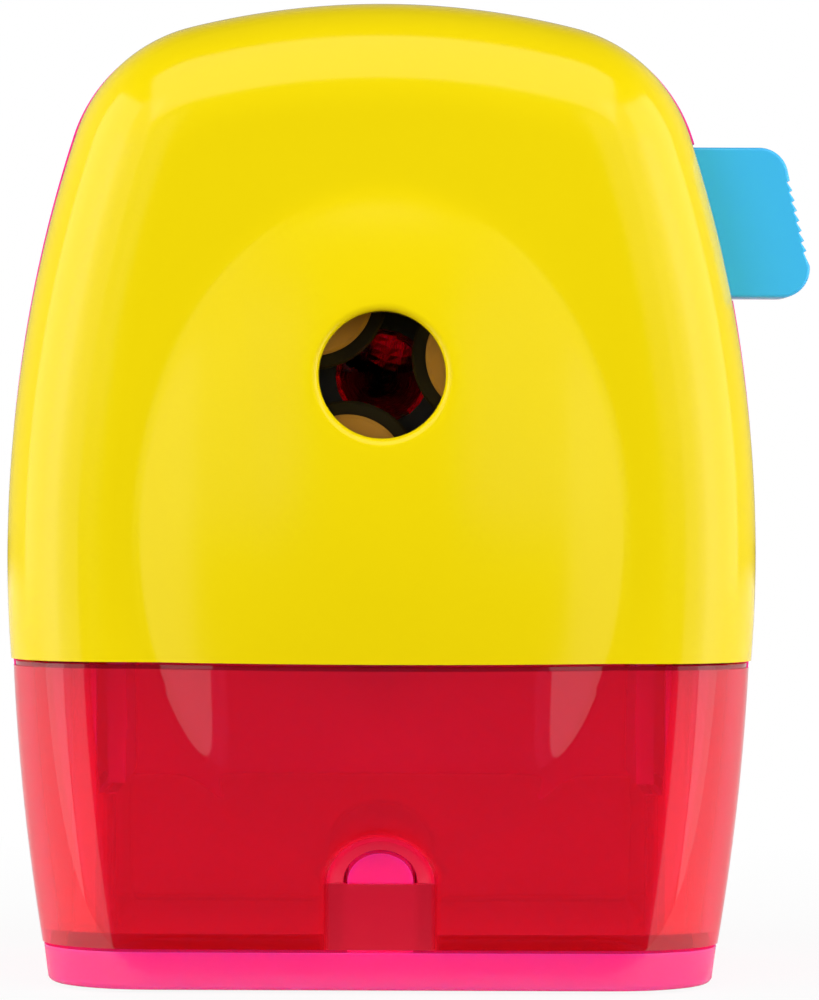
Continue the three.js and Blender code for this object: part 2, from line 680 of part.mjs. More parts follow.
// Plate turning round the pencil axis, with three cam slots and a toothed sector at the top.
function camRing() {
  const shape = new THREE.Shape();
  const pitch = RACK_MODULE / SECTOR_R;
  const first = Math.round(-(RING_SWING + SECTOR_SPARE) / (Math.PI * pitch));
  const last = Math.round(SECTOR_SPARE / (Math.PI * pitch));
  const place = (radius, angle) => [radius * Math.cos(angle), AXIS_Z + radius * Math.sin(angle)];
  const points = [];
  for (let k = first; k <= last; k++) {
    const middle = Math.PI / 2 + k * Math.PI * pitch;
    for (const [out, way] of RACK_TOOTH) {
      const half = halfTooth(RACK_MODULE, GEAR_SLACK, out * RACK_MODULE);
      const radius = SECTOR_R + out * RACK_MODULE;
      points.push(place(radius, middle + (way * half) / radius));
    }
  }
  const start = Math.PI / 2 + (last + 1) * Math.PI * pitch;
  const sweep = Math.PI * 2 - (last - first + 2) * Math.PI * pitch;
  for (let k = 0; k <= 28; k++) points.push(place(RING_R, start + (sweep * k) / 28));
  shape.setFromPoints(points.map(([x, z]) => new THREE.Vector2(x, z)));
  shape.closePath();
  shape.holes.push(new THREE.Path().absarc(0, AXIS_Z, RING_BORE_R, 0, Math.PI * 2, true));
  for (let i = 0; i < JAW_COUNT; i++) shape.holes.push(camSlot(i));
  return slab(shape, RING_Y, RING_Y + RING_T, 12);
}

// Fixed plate behind the ring: a collar centres the ring, a rim at the back carries the carrier,
// three lugs take the screws, and a tongue at the top backs the rack bar.
function chuckPlate() {
  const y = PLATE_Y;
  const end = y + PLATE_T;
  const collarR = RING_BORE_R - GAP;
  const pieces = [
    rod(PLATE_R, y, end, 0, AXIS_Z, 24),
    rod(collarR, RING_Y, end, 0, AXIS_Z, 24),
    rod(FLANGE_R + BEARING_WALL, end, end + FLANGE_T, 0, AXIS_Z, 24),
    box(-TONGUE_W / 2, TONGUE_W / 2, y, end, AXIS_Z + PLATE_R - 2, LEVER_TOP + GAP),
  ];
  const holes = [
    rod(collarR - COLLAR_RIM, -FAR, y, 0, AXIS_Z, 20),
    rod(PLATE_HOLE_R, -FAR, FAR, 0, AXIS_Z, 20),
    rod(FLANGE_R + RUNNING, end, FAR, 0, AXIS_Z, 28),
  ];
  for (const degrees of LUG_ANGLES) {
    const [x, z] = polar(LUG_AT, degrees);
    const arm = box(0, LUG_AT, y, end, -LUG_R, LUG_R).rotate([0, -degrees, 0]);
    pieces.push(arm.translate([0, 0, AXIS_Z]), rod(LUG_R, y, end, x, z, 14));
    holes.push(rod(SMALL_SCREW_R + GAP / 2, -FAR, FAR, x, z, 12));
  }
  return cut(join(...pieces), ...holes);
}

// ---------------------------------------------------------------- clamp lever

// Grip pad outside the housing, saw-toothed along its outer edge, seen from the front.
function leverPad() {
  const bottom = LEVER_TOP - LEVER_H;
  const middle = (LEVER_TOP + bottom) / 2;
  const lean = Math.tan(radians(LEVER_LEAN));
  const edge = (z) => halfWidthAt(HOUSING_FORM, middle) + LEVER_PROUD - (z - middle) * lean;
  const corners = [
    new THREE.Vector2(LEVER_IN_X, bottom),
    new THREE.Vector2(edge(bottom), bottom),
    new THREE.Vector2(edge(LEVER_TOP), LEVER_TOP),
    new THREE.Vector2(LEVER_IN_X, LEVER_TOP),
  ];
  const plate = roundedShape(corners, [0, LEVER_ROUND, LEVER_ROUND, 0]);
  const pad = slab(plate, leverY(), leverY() + LEVER_T, 5);
  const notches = [];
  for (let k = 0; k < GRIP_TEETH; k++) {
    const z = middle + ((GRIP_TEETH - 1) / 2 - k) * GRIP_PITCH;
    const notch = new THREE.Shape([
      new THREE.Vector2(edge(z) + 1, z + 0.15 * GRIP_PITCH),
      new THREE.Vector2(edge(z) - GRIP_DEPTH, z - 0.25 * GRIP_PITCH),
      new THREE.Vector2(edge(z) + 1, z - 0.45 * GRIP_PITCH),
    ]);
    notches.push(slab(notch, -FAR, FAR));
  }
  return cut(pad, ...notches);
}

function leverY() {
  return PART_Y + GAP;
}

// Lever and rack in one moulding: the pad, a stop lug inside the wall, a web and the rack bar.
function clampLever() {
  const bottom = LEVER_TOP - LEVER_H;
  const barBottom = RACK_PITCH_Z + RACK_ROOT * RACK_MODULE;
  const lugX = halfWidthAt(HOUSING_FORM, bottom) - WALL - 2 * GAP;
  const bar = [
    new THREE.Vector2(-RACK_LEFT, LEVER_TOP),
    new THREE.Vector2(-RACK_LEFT, barBottom),
  ];
  const pitch = Math.PI * RACK_MODULE;
  const last = Math.round((LEVER_TRAVEL + RACK_SPARE) / pitch);
  for (let k = Math.round(-RACK_SPARE / pitch); k <= last; k++) {
    const middle = (k + 0.5) * pitch;
    for (const [out, way] of RACK_TOOTH) {
      const half = halfTooth(RACK_MODULE, GEAR_SLACK, out * RACK_MODULE);
      bar.push(new THREE.Vector2(middle + way * half, RACK_PITCH_Z - out * RACK_MODULE));
    }
  }
  bar.push(new THREE.Vector2(WEB_X + 2, barBottom), new THREE.Vector2(WEB_X + 2, LEVER_TOP));
  return join(
    leverPad(),
    box(lugX - STOP_LUG, lugX, leverY(), leverY() + LEVER_T, bottom - STOP_LUG, bottom + 1),
    box(WEB_X, WEB_X + WEB_T, RING_Y, leverY() + LEVER_T, barBottom, LEVER_TOP),
    box(WEB_X, LEVER_IN_X + 1, leverY(), leverY() + LEVER_T, barBottom, LEVER_TOP),
    slab(new THREE.Shape(bar), RING_Y, RING_Y + RING_T),
    alongX(NOSE_R, -RACK_LEFT - NOSE_L, -RACK_LEFT + 1),
  );
}

class Helix extends THREE.Curve {
  constructor(radius, x0, x1, turns, y, z) {
    super();
    Object.assign(this, { radius, x0, x1, turns, y, z });
  }

  getPoint(t, target = new THREE.Vector3()) {
    const angle = t * this.turns * Math.PI * 2;
    return target.set(
      this.x0 + (this.x1 - this.x0) * t,
      this.y + this.radius * Math.cos(angle),
      this.z + this.radius * Math.sin(angle),
    );
  }
}

function returnSpring() {
  const from = -springX() + GAP + SPRING_WIRE_R;
  const to = -RACK_LEFT - GAP - SPRING_WIRE_R;
  const path = new Helix(SPRING_R, from, to, SPRING_TURNS, RING_Y + RING_T / 2, springZ());
  const options = { steps: SPRING_TURNS * 8, curveSegments: 2, extrudePath: path };
  return solid(new THREE.ExtrudeGeometry(disc(0, 0, SPRING_WIRE_R), options));
}

// ---------------------------------------------------------------- drawer

// A doorway outline: straight sides from z0 up to a round top about the rail's height.
function archShape(radius, z0) {
  const shape = new THREE.Shape();
  shape.moveTo(radius, z0);
  shape.absarc(0, RAIL_Z, radius, 0, Math.PI, false);
  shape.lineTo(-radius, z0);
  return shape;
}

function drawerBoxHalfWidth() {
  return halfWidthAt(DRAWER_FORM, DRAWER_BOTTOM + DRAWER_FLOOR) - SIDE_BAND + BOX_WALL;
}

// Thumbnail pull: a shallow round scoop with a flat ledge, cut into the drawer's face.
function pullScoop() {
  const scoop = new THREE.SphereGeometry(PULL_R, 20, 12).scale(1, PULL_DEPTH / PULL_R, 1);
  const reach = rod(PULL_R, DOME_TOP_Y, FRONT_Y, 0, RAIL_Z, 20);
  return cut(join(solid(scoop.translate(0, FRONT_Y, RAIL_Z)), reach), below(RAIL_Z));
}

function drawer() {
  const floorTop = DRAWER_BOTTOM + DRAWER_FLOOR;
  const face = { y: FRONT_Y, round: EDGE_R };
  const back = REAR_Y - BOX_BACK;
  const halfW = drawerBoxHalfWidth();
  const wingIn = WING_END - DRAWER_WALL;
  const shell = cut(
    join(bodySolid(DRAWER_FORM, 0, face, { y: WING_END }, DRAWER_BOTTOM), dome(0)),
    above(DRAWER_TOP),
    below(DRAWER_BOTTOM),
  );
  const boxOut = box(-halfW, halfW, wingIn, back, DRAWER_BOTTOM, BOX_TOP);
  const hollow = join(
    bodySolid(DRAWER_FORM, DRAWER_WALL, face, { y: wingIn }, floorTop),
    cut(dome(DRAWER_WALL), below(floorTop)),
    box(BOX_WALL - halfW, halfW - BOX_WALL, wingIn - 1, back - BOX_WALL, floorTop, BODY_H),
    bodySolid(DRAWER_FORM, SIDE_BAND, { y: wingIn - 1 }, { y: WING_END + 1 }, BOX_TOP),
  );
  const lip = cut(
    join(
      bodySolid(DRAWER_FORM, LIP_BACK, face, { y: WING_END - LIP_BACK }, DRAWER_BOTTOM),
      dome(LIP_BACK),
    ),
    above(DRAWER_TOP + LIP_H),
    below(DRAWER_TOP - 1),
  );
  const faceIn = FRONT_Y + DRAWER_WALL;
  const tunnel = slab(archShape(TUNNEL_OUT_R, DRAWER_BOTTOM), faceIn - 0.5, back, 8);
  const bore = slab(archShape(TUNNEL_R, 0), faceIn, back + 1, 8);
  return cut(join(cut(join(shell, lip, boxOut), hollow), tunnel), bore, pullScoop());
}

// ---------------------------------------------------------------- rear housing

function rearHousing() {
  const rear = { y: REAR_Y, round: REAR_R };
  const outer = cut(
    bodySolid(HOUSING_FORM, 0, { y: FRONT_Y, round: EDGE_R }, rear, FOOT_PROUD, UNDER_R),
    box(-FAR, FAR, -FAR, PART_Y, SILL_Z, FAR),
  );
  const inner = bodySolid(HOUSING_FORM, WALL, { y: FRONT_Y - WALL }, rear, SILL_Z);
  const wallIn = REAR_Y - WALL;
  const railFront = FRONT_Y + DRAWER_WALL + GAP;
  const fittings = [slab(archShape(RAIL_R, SILL_Z - 1), railFront, wallIn + 1, 8)];
  const chuteLow = BOX_TOP + CHUTE_CLEAR;
  for (const way of [-1, 1]) {
    const x0 = Math.min(way * CHUTE_X, way * (CHUTE_X - CHUTE_T));
    fittings.push(box(x0, x0 + CHUTE_T, CHUTE_FRONT_Y, wallIn + 1, chuteLow, CHUTE_TOP));
  }
  fittings.push(...drawerGuides(wallIn + 1));
  const holes = [rod(hubNoseR() + GAP, -FAR, FAR, 0, AXIS_Z, 24), leverNotch()];
  const seat = PART_Y + SCREW_DEEP;
  for (const [x, z] of postPlaces()) {
    fittings.push(rod(HOUSING_POST_R, PART_Y + GAP / 2, REAR_Y, x, z, 14));
    holes.push(rod(SCREW_R + GAP, -FAR, FAR, x, z, 10));
    holes.push(rod(SCREW_HEAD_R + GAP, seat, FAR, x, z, 14));
  }
  for (const [x, z] of hubScrewPlaces()) {
    holes.push(rod(SMALL_SCREW_R + GAP, -FAR, FAR, x, z, 10));
    holes.push(rod(SMALL_HEAD_R + GAP, REAR_Y - SMALL_HEAD_T, FAR, x, z, 14));
  }
  for (const [x, y] of footPlaces()) holes.push(upright(FOOT_R + GAP, -1, FOOT_H + GAP, x, y));
  const pocketX = drawerBoxHalfWidth() - POCKET_SIDE;
  for (const way of [-1, 1]) {
    const x0 = Math.min((way * KEEL_W) / 2, way * pocketX);
    const x1 = Math.max((way * KEEL_W) / 2, way * pocketX);
    const y1 = REAR_Y - 2 * FOOT_IN;
    holes.push(box(x0, x1, -y1, y1, -1, FOOT_PROUD + POCKET_DEEP));
  }
  const whole = join(cut(outer, inner), join(...fittings).intersect(outer));
  return cut(whole, ...holes);
}

// Beside the shavings box a guide wall, and from it to the outer wall a flange at the front,
// which shows through the drawer's clear back.
function drawerGuides(end) {
  const inner = drawerBoxHalfWidth() + BOX_PLAY;
  const low = SILL_Z - 1;
  const wall = box(inner, inner + GUIDE_WALL, PART_Y, end, low, BOX_TOP);
  const flange = box(inner, FAR, PART_Y, PART_Y + WALL, low, DRAWER_TOP);
  const right = join(wall, flange);
  return [right, right.mirror([1, 0, 0])];
}

function leverNotch() {
  const bottom = LEVER_TOP - LEVER_H - GAP;
  return box(LEVER_IN_X, FAR, PART_Y - 1, leverY() + LEVER_T + GAP, bottom, LEVER_TOP + GAP);
}

// A round bar standing along Z.
function upright(radius, z0, z1, x, y) {
  const geometry = new THREE.CylinderGeometry(radius, radius, z1 - z0, 16).rotateX(Math.PI / 2);
  return solid(geometry.translate(x, y, (z0 + z1) / 2));
}

function footPlaces() {
  const x = halfWidthAt(HOUSING_FORM, SILL_Z) - FOOT_IN;
  const y = REAR_Y - FOOT_IN;
  return [[-x, -y], [x, -y], [-x, y], [x, y]];
}

// ---------------------------------------------------------------- gear hub and bush

function hubNoseR() {
  return BUSH_R + BUSH_WALL;
}

function hubScrewPlaces() {
  return [90, 210, 330].map((degrees) => polar(HUB_SCREW_AT, degrees));
}

// Points of one bevel gear's outline, the first tooth pointing up: each tooth has a root, a flank
// and a tip on both sides. Tip and root are off the pitch circle, in modules.
function gearOutline(teeth, tip, root, slack) {
  const pitchR = (GEAR_MODULE * teeth) / 2;
  const points = [];
  for (let k = 0; k < teeth; k++) {
    const middle = Math.PI / 2 + (k * Math.PI * 2) / teeth;
    const sides = [-root * GEAR_MODULE, tip * GEAR_MODULE].map((out) => [
      pitchR + out,
      halfTooth(GEAR_MODULE, slack, out) / (pitchR + out),
    ]);
    for (const [radius, half] of sides) points.push([radius, middle - half]);
    for (const [radius, half] of sides.reverse()) points.push([radius, middle + half]);
  }
  return points;
}

// A gear outline drawn smaller towards the cones' shared apex, as a tapered solid whose axis is
// along Y and whose wide end is at y = wideY. distance is from that end's plane to the apex.
function bevelSolid(points, wideY, length, distance) {
  const ring = (y) => {
    const scale = (distance - (y - wideY)) / distance;
    return points.map(([radius, angle]) => {
      const x = radius * scale * Math.cos(angle);
      return new THREE.Vector3(x, y, radius * scale * Math.sin(angle));
    });
  };
  return loft([ring(wideY), ring(wideY + length)]);
}

// Fixed frame: inner bevel ring gear at its front, the shaft's bush behind, a screwed flange.
function gearHub() {
  const front = RING_GEAR_Y - HUB_RIM;
  const seat = REAR_Y - WALL - GAP;
  const neckR = hubNoseR() + HUB_WALL;
  const blank = turned([
    [0, front],
    [HUB_R, front],
    [HUB_R, RING_GEAR_END],
    [neckR, CHAMBER_END + HUB_WALL],
    [neckR, seat - HUB_FLANGE_T],
    [HUB_FLANGE_R, seat - HUB_FLANGE_T],
    [HUB_FLANGE_R, seat],
    [hubNoseR(), seat],
    [hubNoseR(), REAR_Y],
    [0, REAR_Y],
  ], 0, AXIS_Z, 24);
  const distance = APEX_Y - RING_GEAR_Y;
  const spaces = gearOutline(RING_TEETH, GEAR_ROOT + 0.1, GEAR_TIP, -GEAR_SLACK);
  const lead = HUB_RIM + 1;
  const grown = spaces.map(([radius, angle]) => [(radius * (distance + lead)) / distance, angle]);
  const length = GEAR_FACE * Math.cos(RING_CONE) + lead + HUB_RIM;
  const teeth = bevelSolid(grown, RING_GEAR_Y - lead, length, distance + lead);
  const holes = [
    teeth.translate([0, 0, AXIS_Z]),
    rod(NECK_R + CARRIER_PLAY, RING_GEAR_END - 0.5, CHAMBER_END, 0, AXIS_Z, 28),
    rod(BUSH_R + RUNNING, -FAR, FAR, 0, AXIS_Z, 24),
  ];
  for (const [x, z] of hubScrewPlaces()) {
    holes.push(rod(SMALL_SCREW_R + GAP / 2, seat - HUB_FLANGE_T - 1, REAR_Y, x, z, 12));
  }
  return cut(blank, ...holes);
}

function shaftBush() {
  const start = CHAMBER_END + GAP;
  const end = REAR_Y + BUSH_PROUD;
  return cut(
    join(
      rod(BUSH_R, start, end, 0, AXIS_Z, 22),
      rod(BUSH_R + BUSH_FLANGE, REAR_Y + RUNNING, end, 0, AXIS_Z, 22),
    ),
    rod(SHAFT_R + RUNNING, -FAR, FAR, 0, AXIS_Z, 22),
  );
}

// ---------------------------------------------------------------- carrier, cutter and pinion

// Everything on the cutter's axis is drawn along Y from the shared apex and then tilted, so that
// the cutter's lowest line lies on the pencil's cone.
function onCutterAxis(piece) {
  return piece.rotate([-POINT_HALF_ANGLE, 0, 0]).translate([0, APEX_Y, AXIS_Z]);
}

function cutterSpan() {
  const apexToTip = CUTTER_R / Math.tan(SLANT);
  const start = -apexToTip - PENCIL_R / Math.sin(SLANT) - CUTTER_PAST;
  const pinionWide = -CONE_DISTANCE * Math.cos(PINION_CONE);
  return { start, end: pinionWide - 2 * GAP, pinionWide };
}

function carrier() {
  const flangeEnd = CARRIER_Y + FLANGE_T;
  const rearEnd = CHAMBER_END - CARRIER_PLAY;
  const blank = turned([
    [0, CARRIER_Y],
    [FLANGE_R, CARRIER_Y],
    [FLANGE_R, flangeEnd],
    [BODY_R, flangeEnd],
    [NECK_R, RING_GEAR_Y - 1.4],
    [NECK_R, rearEnd],
    [SHAFT_R, rearEnd],
    [SHAFT_R, SHAFT_END],
    [0, SHAFT_END],
  ], 0, AXIS_Z, 28);
  const seat = turned([
    [0, CARRIER_Y - 1],
    [GUIDE_R + 1.4, CARRIER_Y - 1],
    [GUIDE_R + 0.8, CARRIER_Y],
    [GUIDE_R, CARRIER_Y + 1.5],
    [GUIDE_R, POINT_Y - (GUIDE_R - PENCIL_R) / Math.tan(SLANT)],
    [POINT_END_R, TIP_Y - POINT_END_R / Math.tan(SLANT)],
    [POINT_END_R, TIP_Y + 1],
    [0, TIP_Y + 1],
  ], 0, AXIS_Z, 20);
  const { start, end, pinionWide } = cutterSpan();
  const wide = (GEAR_MODULE * PINION_TEETH) / 2 + GEAR_MODULE + CARRIER_PLAY;
  const pinionEnd = pinionWide + GEAR_FACE + CARRIER_PLAY;
  const onCutter = [
    rod(CUTTER_R + CUTTER_ROOM, start - CUTTER_ROOM, end + 0.2, 0, 0, 22),
    rod(wide, pinionWide - CARRIER_PLAY, pinionEnd, 0, 0, 22),
    rod(AXLE_R + RUNNING, start - FLANGE_T - AXLE_SEAT, pinionEnd + AXLE_SEAT, 0, 0, 12),
  ];
  const window = box(-FAR, FAR, flangeEnd + 2, RING_GEAR_Y - 5, AXIS_Z + 0.5, FAR);
  const screwHole = rod(SCREW_R + RUNNING, SHAFT_END - CRANK_SCREW_L, FAR, 0, AXIS_Z, 12);
  return cut(blank, seat, ...onCutter.map(onCutterAxis), window, screwHole);
}

// Helical cutter: a saw-toothed section that turns as it runs along the axis.
function cutter() {
  const { start, end } = cutterSpan();
  const slices = 7;
  const twist = ((end - start) * Math.tan(radians(CUTTER_HELIX))) / CUTTER_R;
  const rings = [];
  for (let s = 0; s <= slices; s++) {
    const y = start + ((end - start) * s) / slices;
    const ring = [];
    for (let k = 0; k < CUTTER_TEETH; k++) {
      const pitch = (Math.PI * 2) / CUTTER_TEETH;
      for (const [share, radius] of [[0, CUTTER_R - CUTTER_TOOTH_H], [0.7, CUTTER_R]]) {
        const angle = (k + share) * pitch + (twist * s) / slices;
        ring.push(new THREE.Vector3(radius * Math.cos(angle), y, radius * Math.sin(angle)));
      }
    }
    rings.push(ring);
  }
  return cut(loft(rings), rod(AXLE_R + RUNNING, -FAR, FAR, 0, 0, 12));
}

// Pinion at the cutter's narrow end; a tooth points at the ring gear's tooth space.
function pinion() {
  const { pinionWide } = cutterSpan();
  const points = gearOutline(PINION_TEETH, GEAR_TIP, GEAR_ROOT, GEAR_SLACK);
  const teeth = bevelSolid(points, pinionWide, GEAR_FACE * Math.cos(PINION_CONE), -pinionWide);
  return cut(teeth, rod(AXLE_R + RUNNING, -FAR, FAR, 0, 0, 12));
}

function cutterAxle() {
  const { start, pinionWide } = cutterSpan();
  return rod(AXLE_R, start - FLANGE_T + 0.6, pinionWide + GEAR_FACE + AXLE_SEAT, 0, 0, 12);
}

// ---------------------------------------------------------------- crank

// Outline of the arm, wider at the boss than at the knob's eye, set in by a distance.
function armShape(inset) {
  const shape = new THREE.Shape();
  const lean = Math.asin((ARM_BOSS_R - ARM_EYE_R) / CRANK_R);
  shape.absarc(0, AXIS_Z, ARM_BOSS_R - inset, -lean, Math.PI + lean, false);
  shape.absarc(0, knobZ(), ARM_EYE_R - inset, Math.PI + lean, Math.PI * 2 - lean, false);
  return shape;
}

function knobZ() {
  return AXIS_Z - CRANK_R;
}

// Arm hanging straight down from the shaft, dished at the back between the boss and the eye.
function crankArm() {
  const end = ARM_Y + ARM_T;
  const z = knobZ();
  const dish = cut(
    slab(armShape(ARM_RIM), end - ARM_DISH, end + 1, 5),
    rod(ARM_BOSS_R - ARM_RIM / 2, -FAR, FAR, 0, AXIS_Z, 16),
    rod(ARM_EYE_R - ARM_RIM / 2, -FAR, FAR, 0, z, 14),
  );
  const boss = rod(ARM_BOSS_R - 1, REAR_Y + BUSH_PROUD + 2 * GAP, ARM_Y + 1, 0, AXIS_Z, 16);
  return cut(
    join(cut(slab(armShape(0), ARM_Y, end, 8), dish), boss),
    rod(SHAFT_R + RUNNING, -FAR, FAR, 0, AXIS_Z, 16),
    rod(KNOB_PIN_R + RUNNING, -FAR, FAR, 0, z, 14),
    rod(PIN_HEAD_R + GAP, -FAR, ARM_Y + PIN_HEAD_T + 2 * GAP, 0, z, 14),
  );
}

function knob() {
  const end = KNOB_Y + KNOB_L;
  const z = knobZ();
  const blank = turned([
    [0, KNOB_Y],
    [KNOB_NECK_R, KNOB_Y],
    [KNOB_NECK_R + 0.6, KNOB_Y + KNOB_L * 0.09],
    [KNOB_R - 0.4, KNOB_Y + KNOB_L * 0.45],
    [KNOB_R, KNOB_Y + KNOB_L * 0.75],
    [KNOB_R - 0.5, KNOB_Y + KNOB_L * 0.93],
    [KNOB_END_R, end],
    [0, end],
  ], 0, z, 20);
  return cut(
    blank,
    rod(KNOB_PIN_R + RUNNING, -FAR, FAR, 0, z, 12),
    rod(PIN_HEAD_R + 2 * RUNNING, pinHeadY() - GAP, FAR, 0, z, 14),
  );
}

function pinHeadY() {
  return KNOB_Y + KNOB_L - PIN_SUNK - PIN_HEAD_T;
}

function knobPin() {
  const start = ARM_Y + GAP;
  const head = pinHeadY();
  return turned([
    [0, start],
    [PIN_HEAD_R, start],
    [PIN_HEAD_R, start + PIN_HEAD_T],
    [KNOB_PIN_R, start + PIN_HEAD_T],
    [KNOB_PIN_R, head],
    [PIN_HEAD_R, head],
    [PIN_HEAD_R - 0.2, head + PIN_HEAD_T],
    [0, head + PIN_HEAD_T],
  ], 0, knobZ(), 14);
}

// ---------------------------------------------------------------- fasteners and feet

// A pan-head screw along Y: way is +1 when the shank points to +Y from the head.
function screw(radius, headR, headT, length, x, z, seatY, way) {
  return turned([
    [0, seatY - way * headT],
    [headR * 0.7, seatY - way * headT],
    [headR, seatY - way * headT * 0.5],
    [headR, seatY],
    [radius, seatY],
    [radius, seatY + way * (length - radius)],
    [0, seatY + way * length],
  ], x, z, 8);
}

// ---------------------------------------------------------------- materials

function plastic(color, roughness = 0.25) {
  return new THREE.MeshStandardMaterial({ color, roughness, metalness: 0 });
}

function metal(color, roughness) {
  return new THREE.MeshStandardMaterial({ color, roughness, metalness: 1 });
}

const YELLOW = plastic("#edd614");
const PINK = plastic("#fe3a87");
const BLUE = plastic("#42b9ef");
const RED_CLEAR = new THREE.MeshStandardMaterial({
  color: "#c0141e",
  roughness: 0.1,
  transparent: true,
  opacity: 0.6,
});
const AMBER = plastic("#a87a30", 0.45);
const BLACK = plastic("#1c1c1e", 0.55);
const STEEL = metal("#b9bcc0", 0.3);
const BRONZE = metal("#b08d57", 0.45);
const RUBBER = plastic("#26262a", 0.95);

// ---------------------------------------------------------------- assembly

const sharpener = new THREE.Group();
sharpener.add(
  mesh("front_cover", frontCover(), YELLOW),
  mesh("rear_housing", rearHousing(), PINK),
  mesh("drawer", drawer(), RED_CLEAR),
  mesh("clamp_lever", clampLever(), BLUE),
  mesh("return_spring", returnSpring(), STEEL),
  mesh("cam_ring", camRing(), BLACK),
  mesh("chuck_plate", chuckPlate(), BLACK),
  mesh("gear_hub", gearHub(), BLACK),
  mesh("shaft_bush", shaftBush(), BRONZE),
  mesh("carrier", carrier(), STEEL),
  mesh("crank_arm", crankArm(), BLUE),
  mesh("knob", knob(), YELLOW),
  mesh("knob_pin", knobPin(), STEEL),
);

const cutterUnit = new THREE.Group();
cutterUnit.position.set(0, APEX_Y, AXIS_Z);
cutterUnit.rotation.x = -SLANT;
cutterUnit.add(
  mesh("cutter", cutter(), STEEL),
  mesh("pinion", pinion(), STEEL),
  mesh("cutter_axle", cutterAxle(), STEEL),
);
sharpener.add(cutterUnit);

for (let i = 0; i < JAW_COUNT; i++) sharpener.add(mesh(`jaw_${i + 1}`, jaw(i), AMBER));

LUG_ANGLES.forEach((degrees, i) => {
  const [x, z] = polar(LUG_AT, degrees);
  const seatY = PLATE_Y + PLATE_T + SEATED;
  const piece = screw(SMALL_SCREW_R, SMALL_HEAD_R, SMALL_HEAD_T, SMALL_SCREW_L, x, z, seatY, -1);
  sharpener.add(mesh(`chuck_screw_${i + 1}`, piece, STEEL));
});

hubScrewPlaces().forEach(([x, z], i) => {
  const seatY = REAR_Y - SMALL_HEAD_T + SEATED;
  const piece = screw(SMALL_SCREW_R, SMALL_HEAD_R, SMALL_HEAD_T, HUB_SCREW_L, x, z, seatY, -1);
  sharpener.add(mesh(`hub_screw_${i + 1}`, piece, STEEL));
});

postPlaces().forEach(([x, z], i) => {
  const seatY = PART_Y + SCREW_DEEP + SEATED;
  const piece = screw(SCREW_R, SCREW_HEAD_R, SCREW_HEAD_T, SCREW_L, x, z, seatY, -1);
  sharpener.add(mesh(`cover_screw_${i + 1}`, piece, STEEL));
});

footPlaces().forEach(([x, y], i) => {
  sharpener.add(mesh(`foot_${i + 1}`, upright(FOOT_R, 0, FOOT_H, x, y), RUBBER));
});

const crankSeat = SHAFT_END + SEATED;
const crankScrew = screw(SCREW_R, CRANK_HEAD_R, SCREW_HEAD_T, CRANK_SCREW_L, 0, AXIS_Z, crankSeat, -1);
sharpener.add(mesh("crank_screw", crankScrew, STEEL));

export default sharpener;
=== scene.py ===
import json
import math

import bmesh
import bpy
import numpy as np
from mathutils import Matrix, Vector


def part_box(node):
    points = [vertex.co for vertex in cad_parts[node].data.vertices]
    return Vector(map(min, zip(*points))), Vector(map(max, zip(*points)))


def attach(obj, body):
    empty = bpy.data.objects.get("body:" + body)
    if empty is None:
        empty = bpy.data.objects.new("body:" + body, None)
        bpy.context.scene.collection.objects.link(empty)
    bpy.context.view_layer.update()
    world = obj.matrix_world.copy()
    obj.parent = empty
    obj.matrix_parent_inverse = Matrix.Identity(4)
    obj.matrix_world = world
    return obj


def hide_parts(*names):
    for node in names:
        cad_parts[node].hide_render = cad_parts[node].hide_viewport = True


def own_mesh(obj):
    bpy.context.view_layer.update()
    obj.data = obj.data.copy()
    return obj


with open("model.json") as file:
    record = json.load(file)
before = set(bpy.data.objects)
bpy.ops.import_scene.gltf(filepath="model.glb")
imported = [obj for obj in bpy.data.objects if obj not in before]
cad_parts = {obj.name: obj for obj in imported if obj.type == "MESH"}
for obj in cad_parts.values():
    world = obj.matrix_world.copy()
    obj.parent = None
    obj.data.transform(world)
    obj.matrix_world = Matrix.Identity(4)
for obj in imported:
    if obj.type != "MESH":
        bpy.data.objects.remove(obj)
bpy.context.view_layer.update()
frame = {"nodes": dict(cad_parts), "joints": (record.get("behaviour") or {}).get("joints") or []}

# A hand-cranked desk pencil sharpener, put together from the front: cover, drawer, housing,
# clamp lever, jaws, cutter unit and crank. Lengths are in metres. Each surface is a numpy grid.
MM = 0.001

# ---------------------------------------------------------------- camera
# A long lens at the height of the middle of the body, level with the desk, square to the face.
DOME_PROUD = 5.5 * MM
CAMERA_BACK = 585 * MM
EYE_Z = 56.1 * MM
VIEW_HEIGHT = 100 * MM
SENSOR = 36.0
LENS_SHIFT = (0.0275, -0.067)
NEAR_CLIP = 0.01
ROLL = math.radians(-0.21)
cover_low, cover_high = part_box("front_cover")
face_y = cover_low.y + DOME_PROUD

camera_data = bpy.data.cameras.new("camera")
camera_data.sensor_width = SENSOR
camera_data.lens = SENSOR * CAMERA_BACK / VIEW_HEIGHT
camera_data.shift_x, camera_data.shift_y = LENS_SHIFT
camera_data.clip_start = NEAR_CLIP


def linked(name, data):
    """A new object at the origin, in the scene."""
    made = bpy.data.objects.new(name, data)
    bpy.context.scene.collection.objects.link(made)
    return made


camera = linked("camera", camera_data)
camera.location = (0, face_y - CAMERA_BACK, EYE_Z)
camera.rotation_euler = (math.pi / 2, ROLL, 0)
bpy.context.scene.camera = camera
bpy.context.scene.view_settings.view_transform = "Standard"

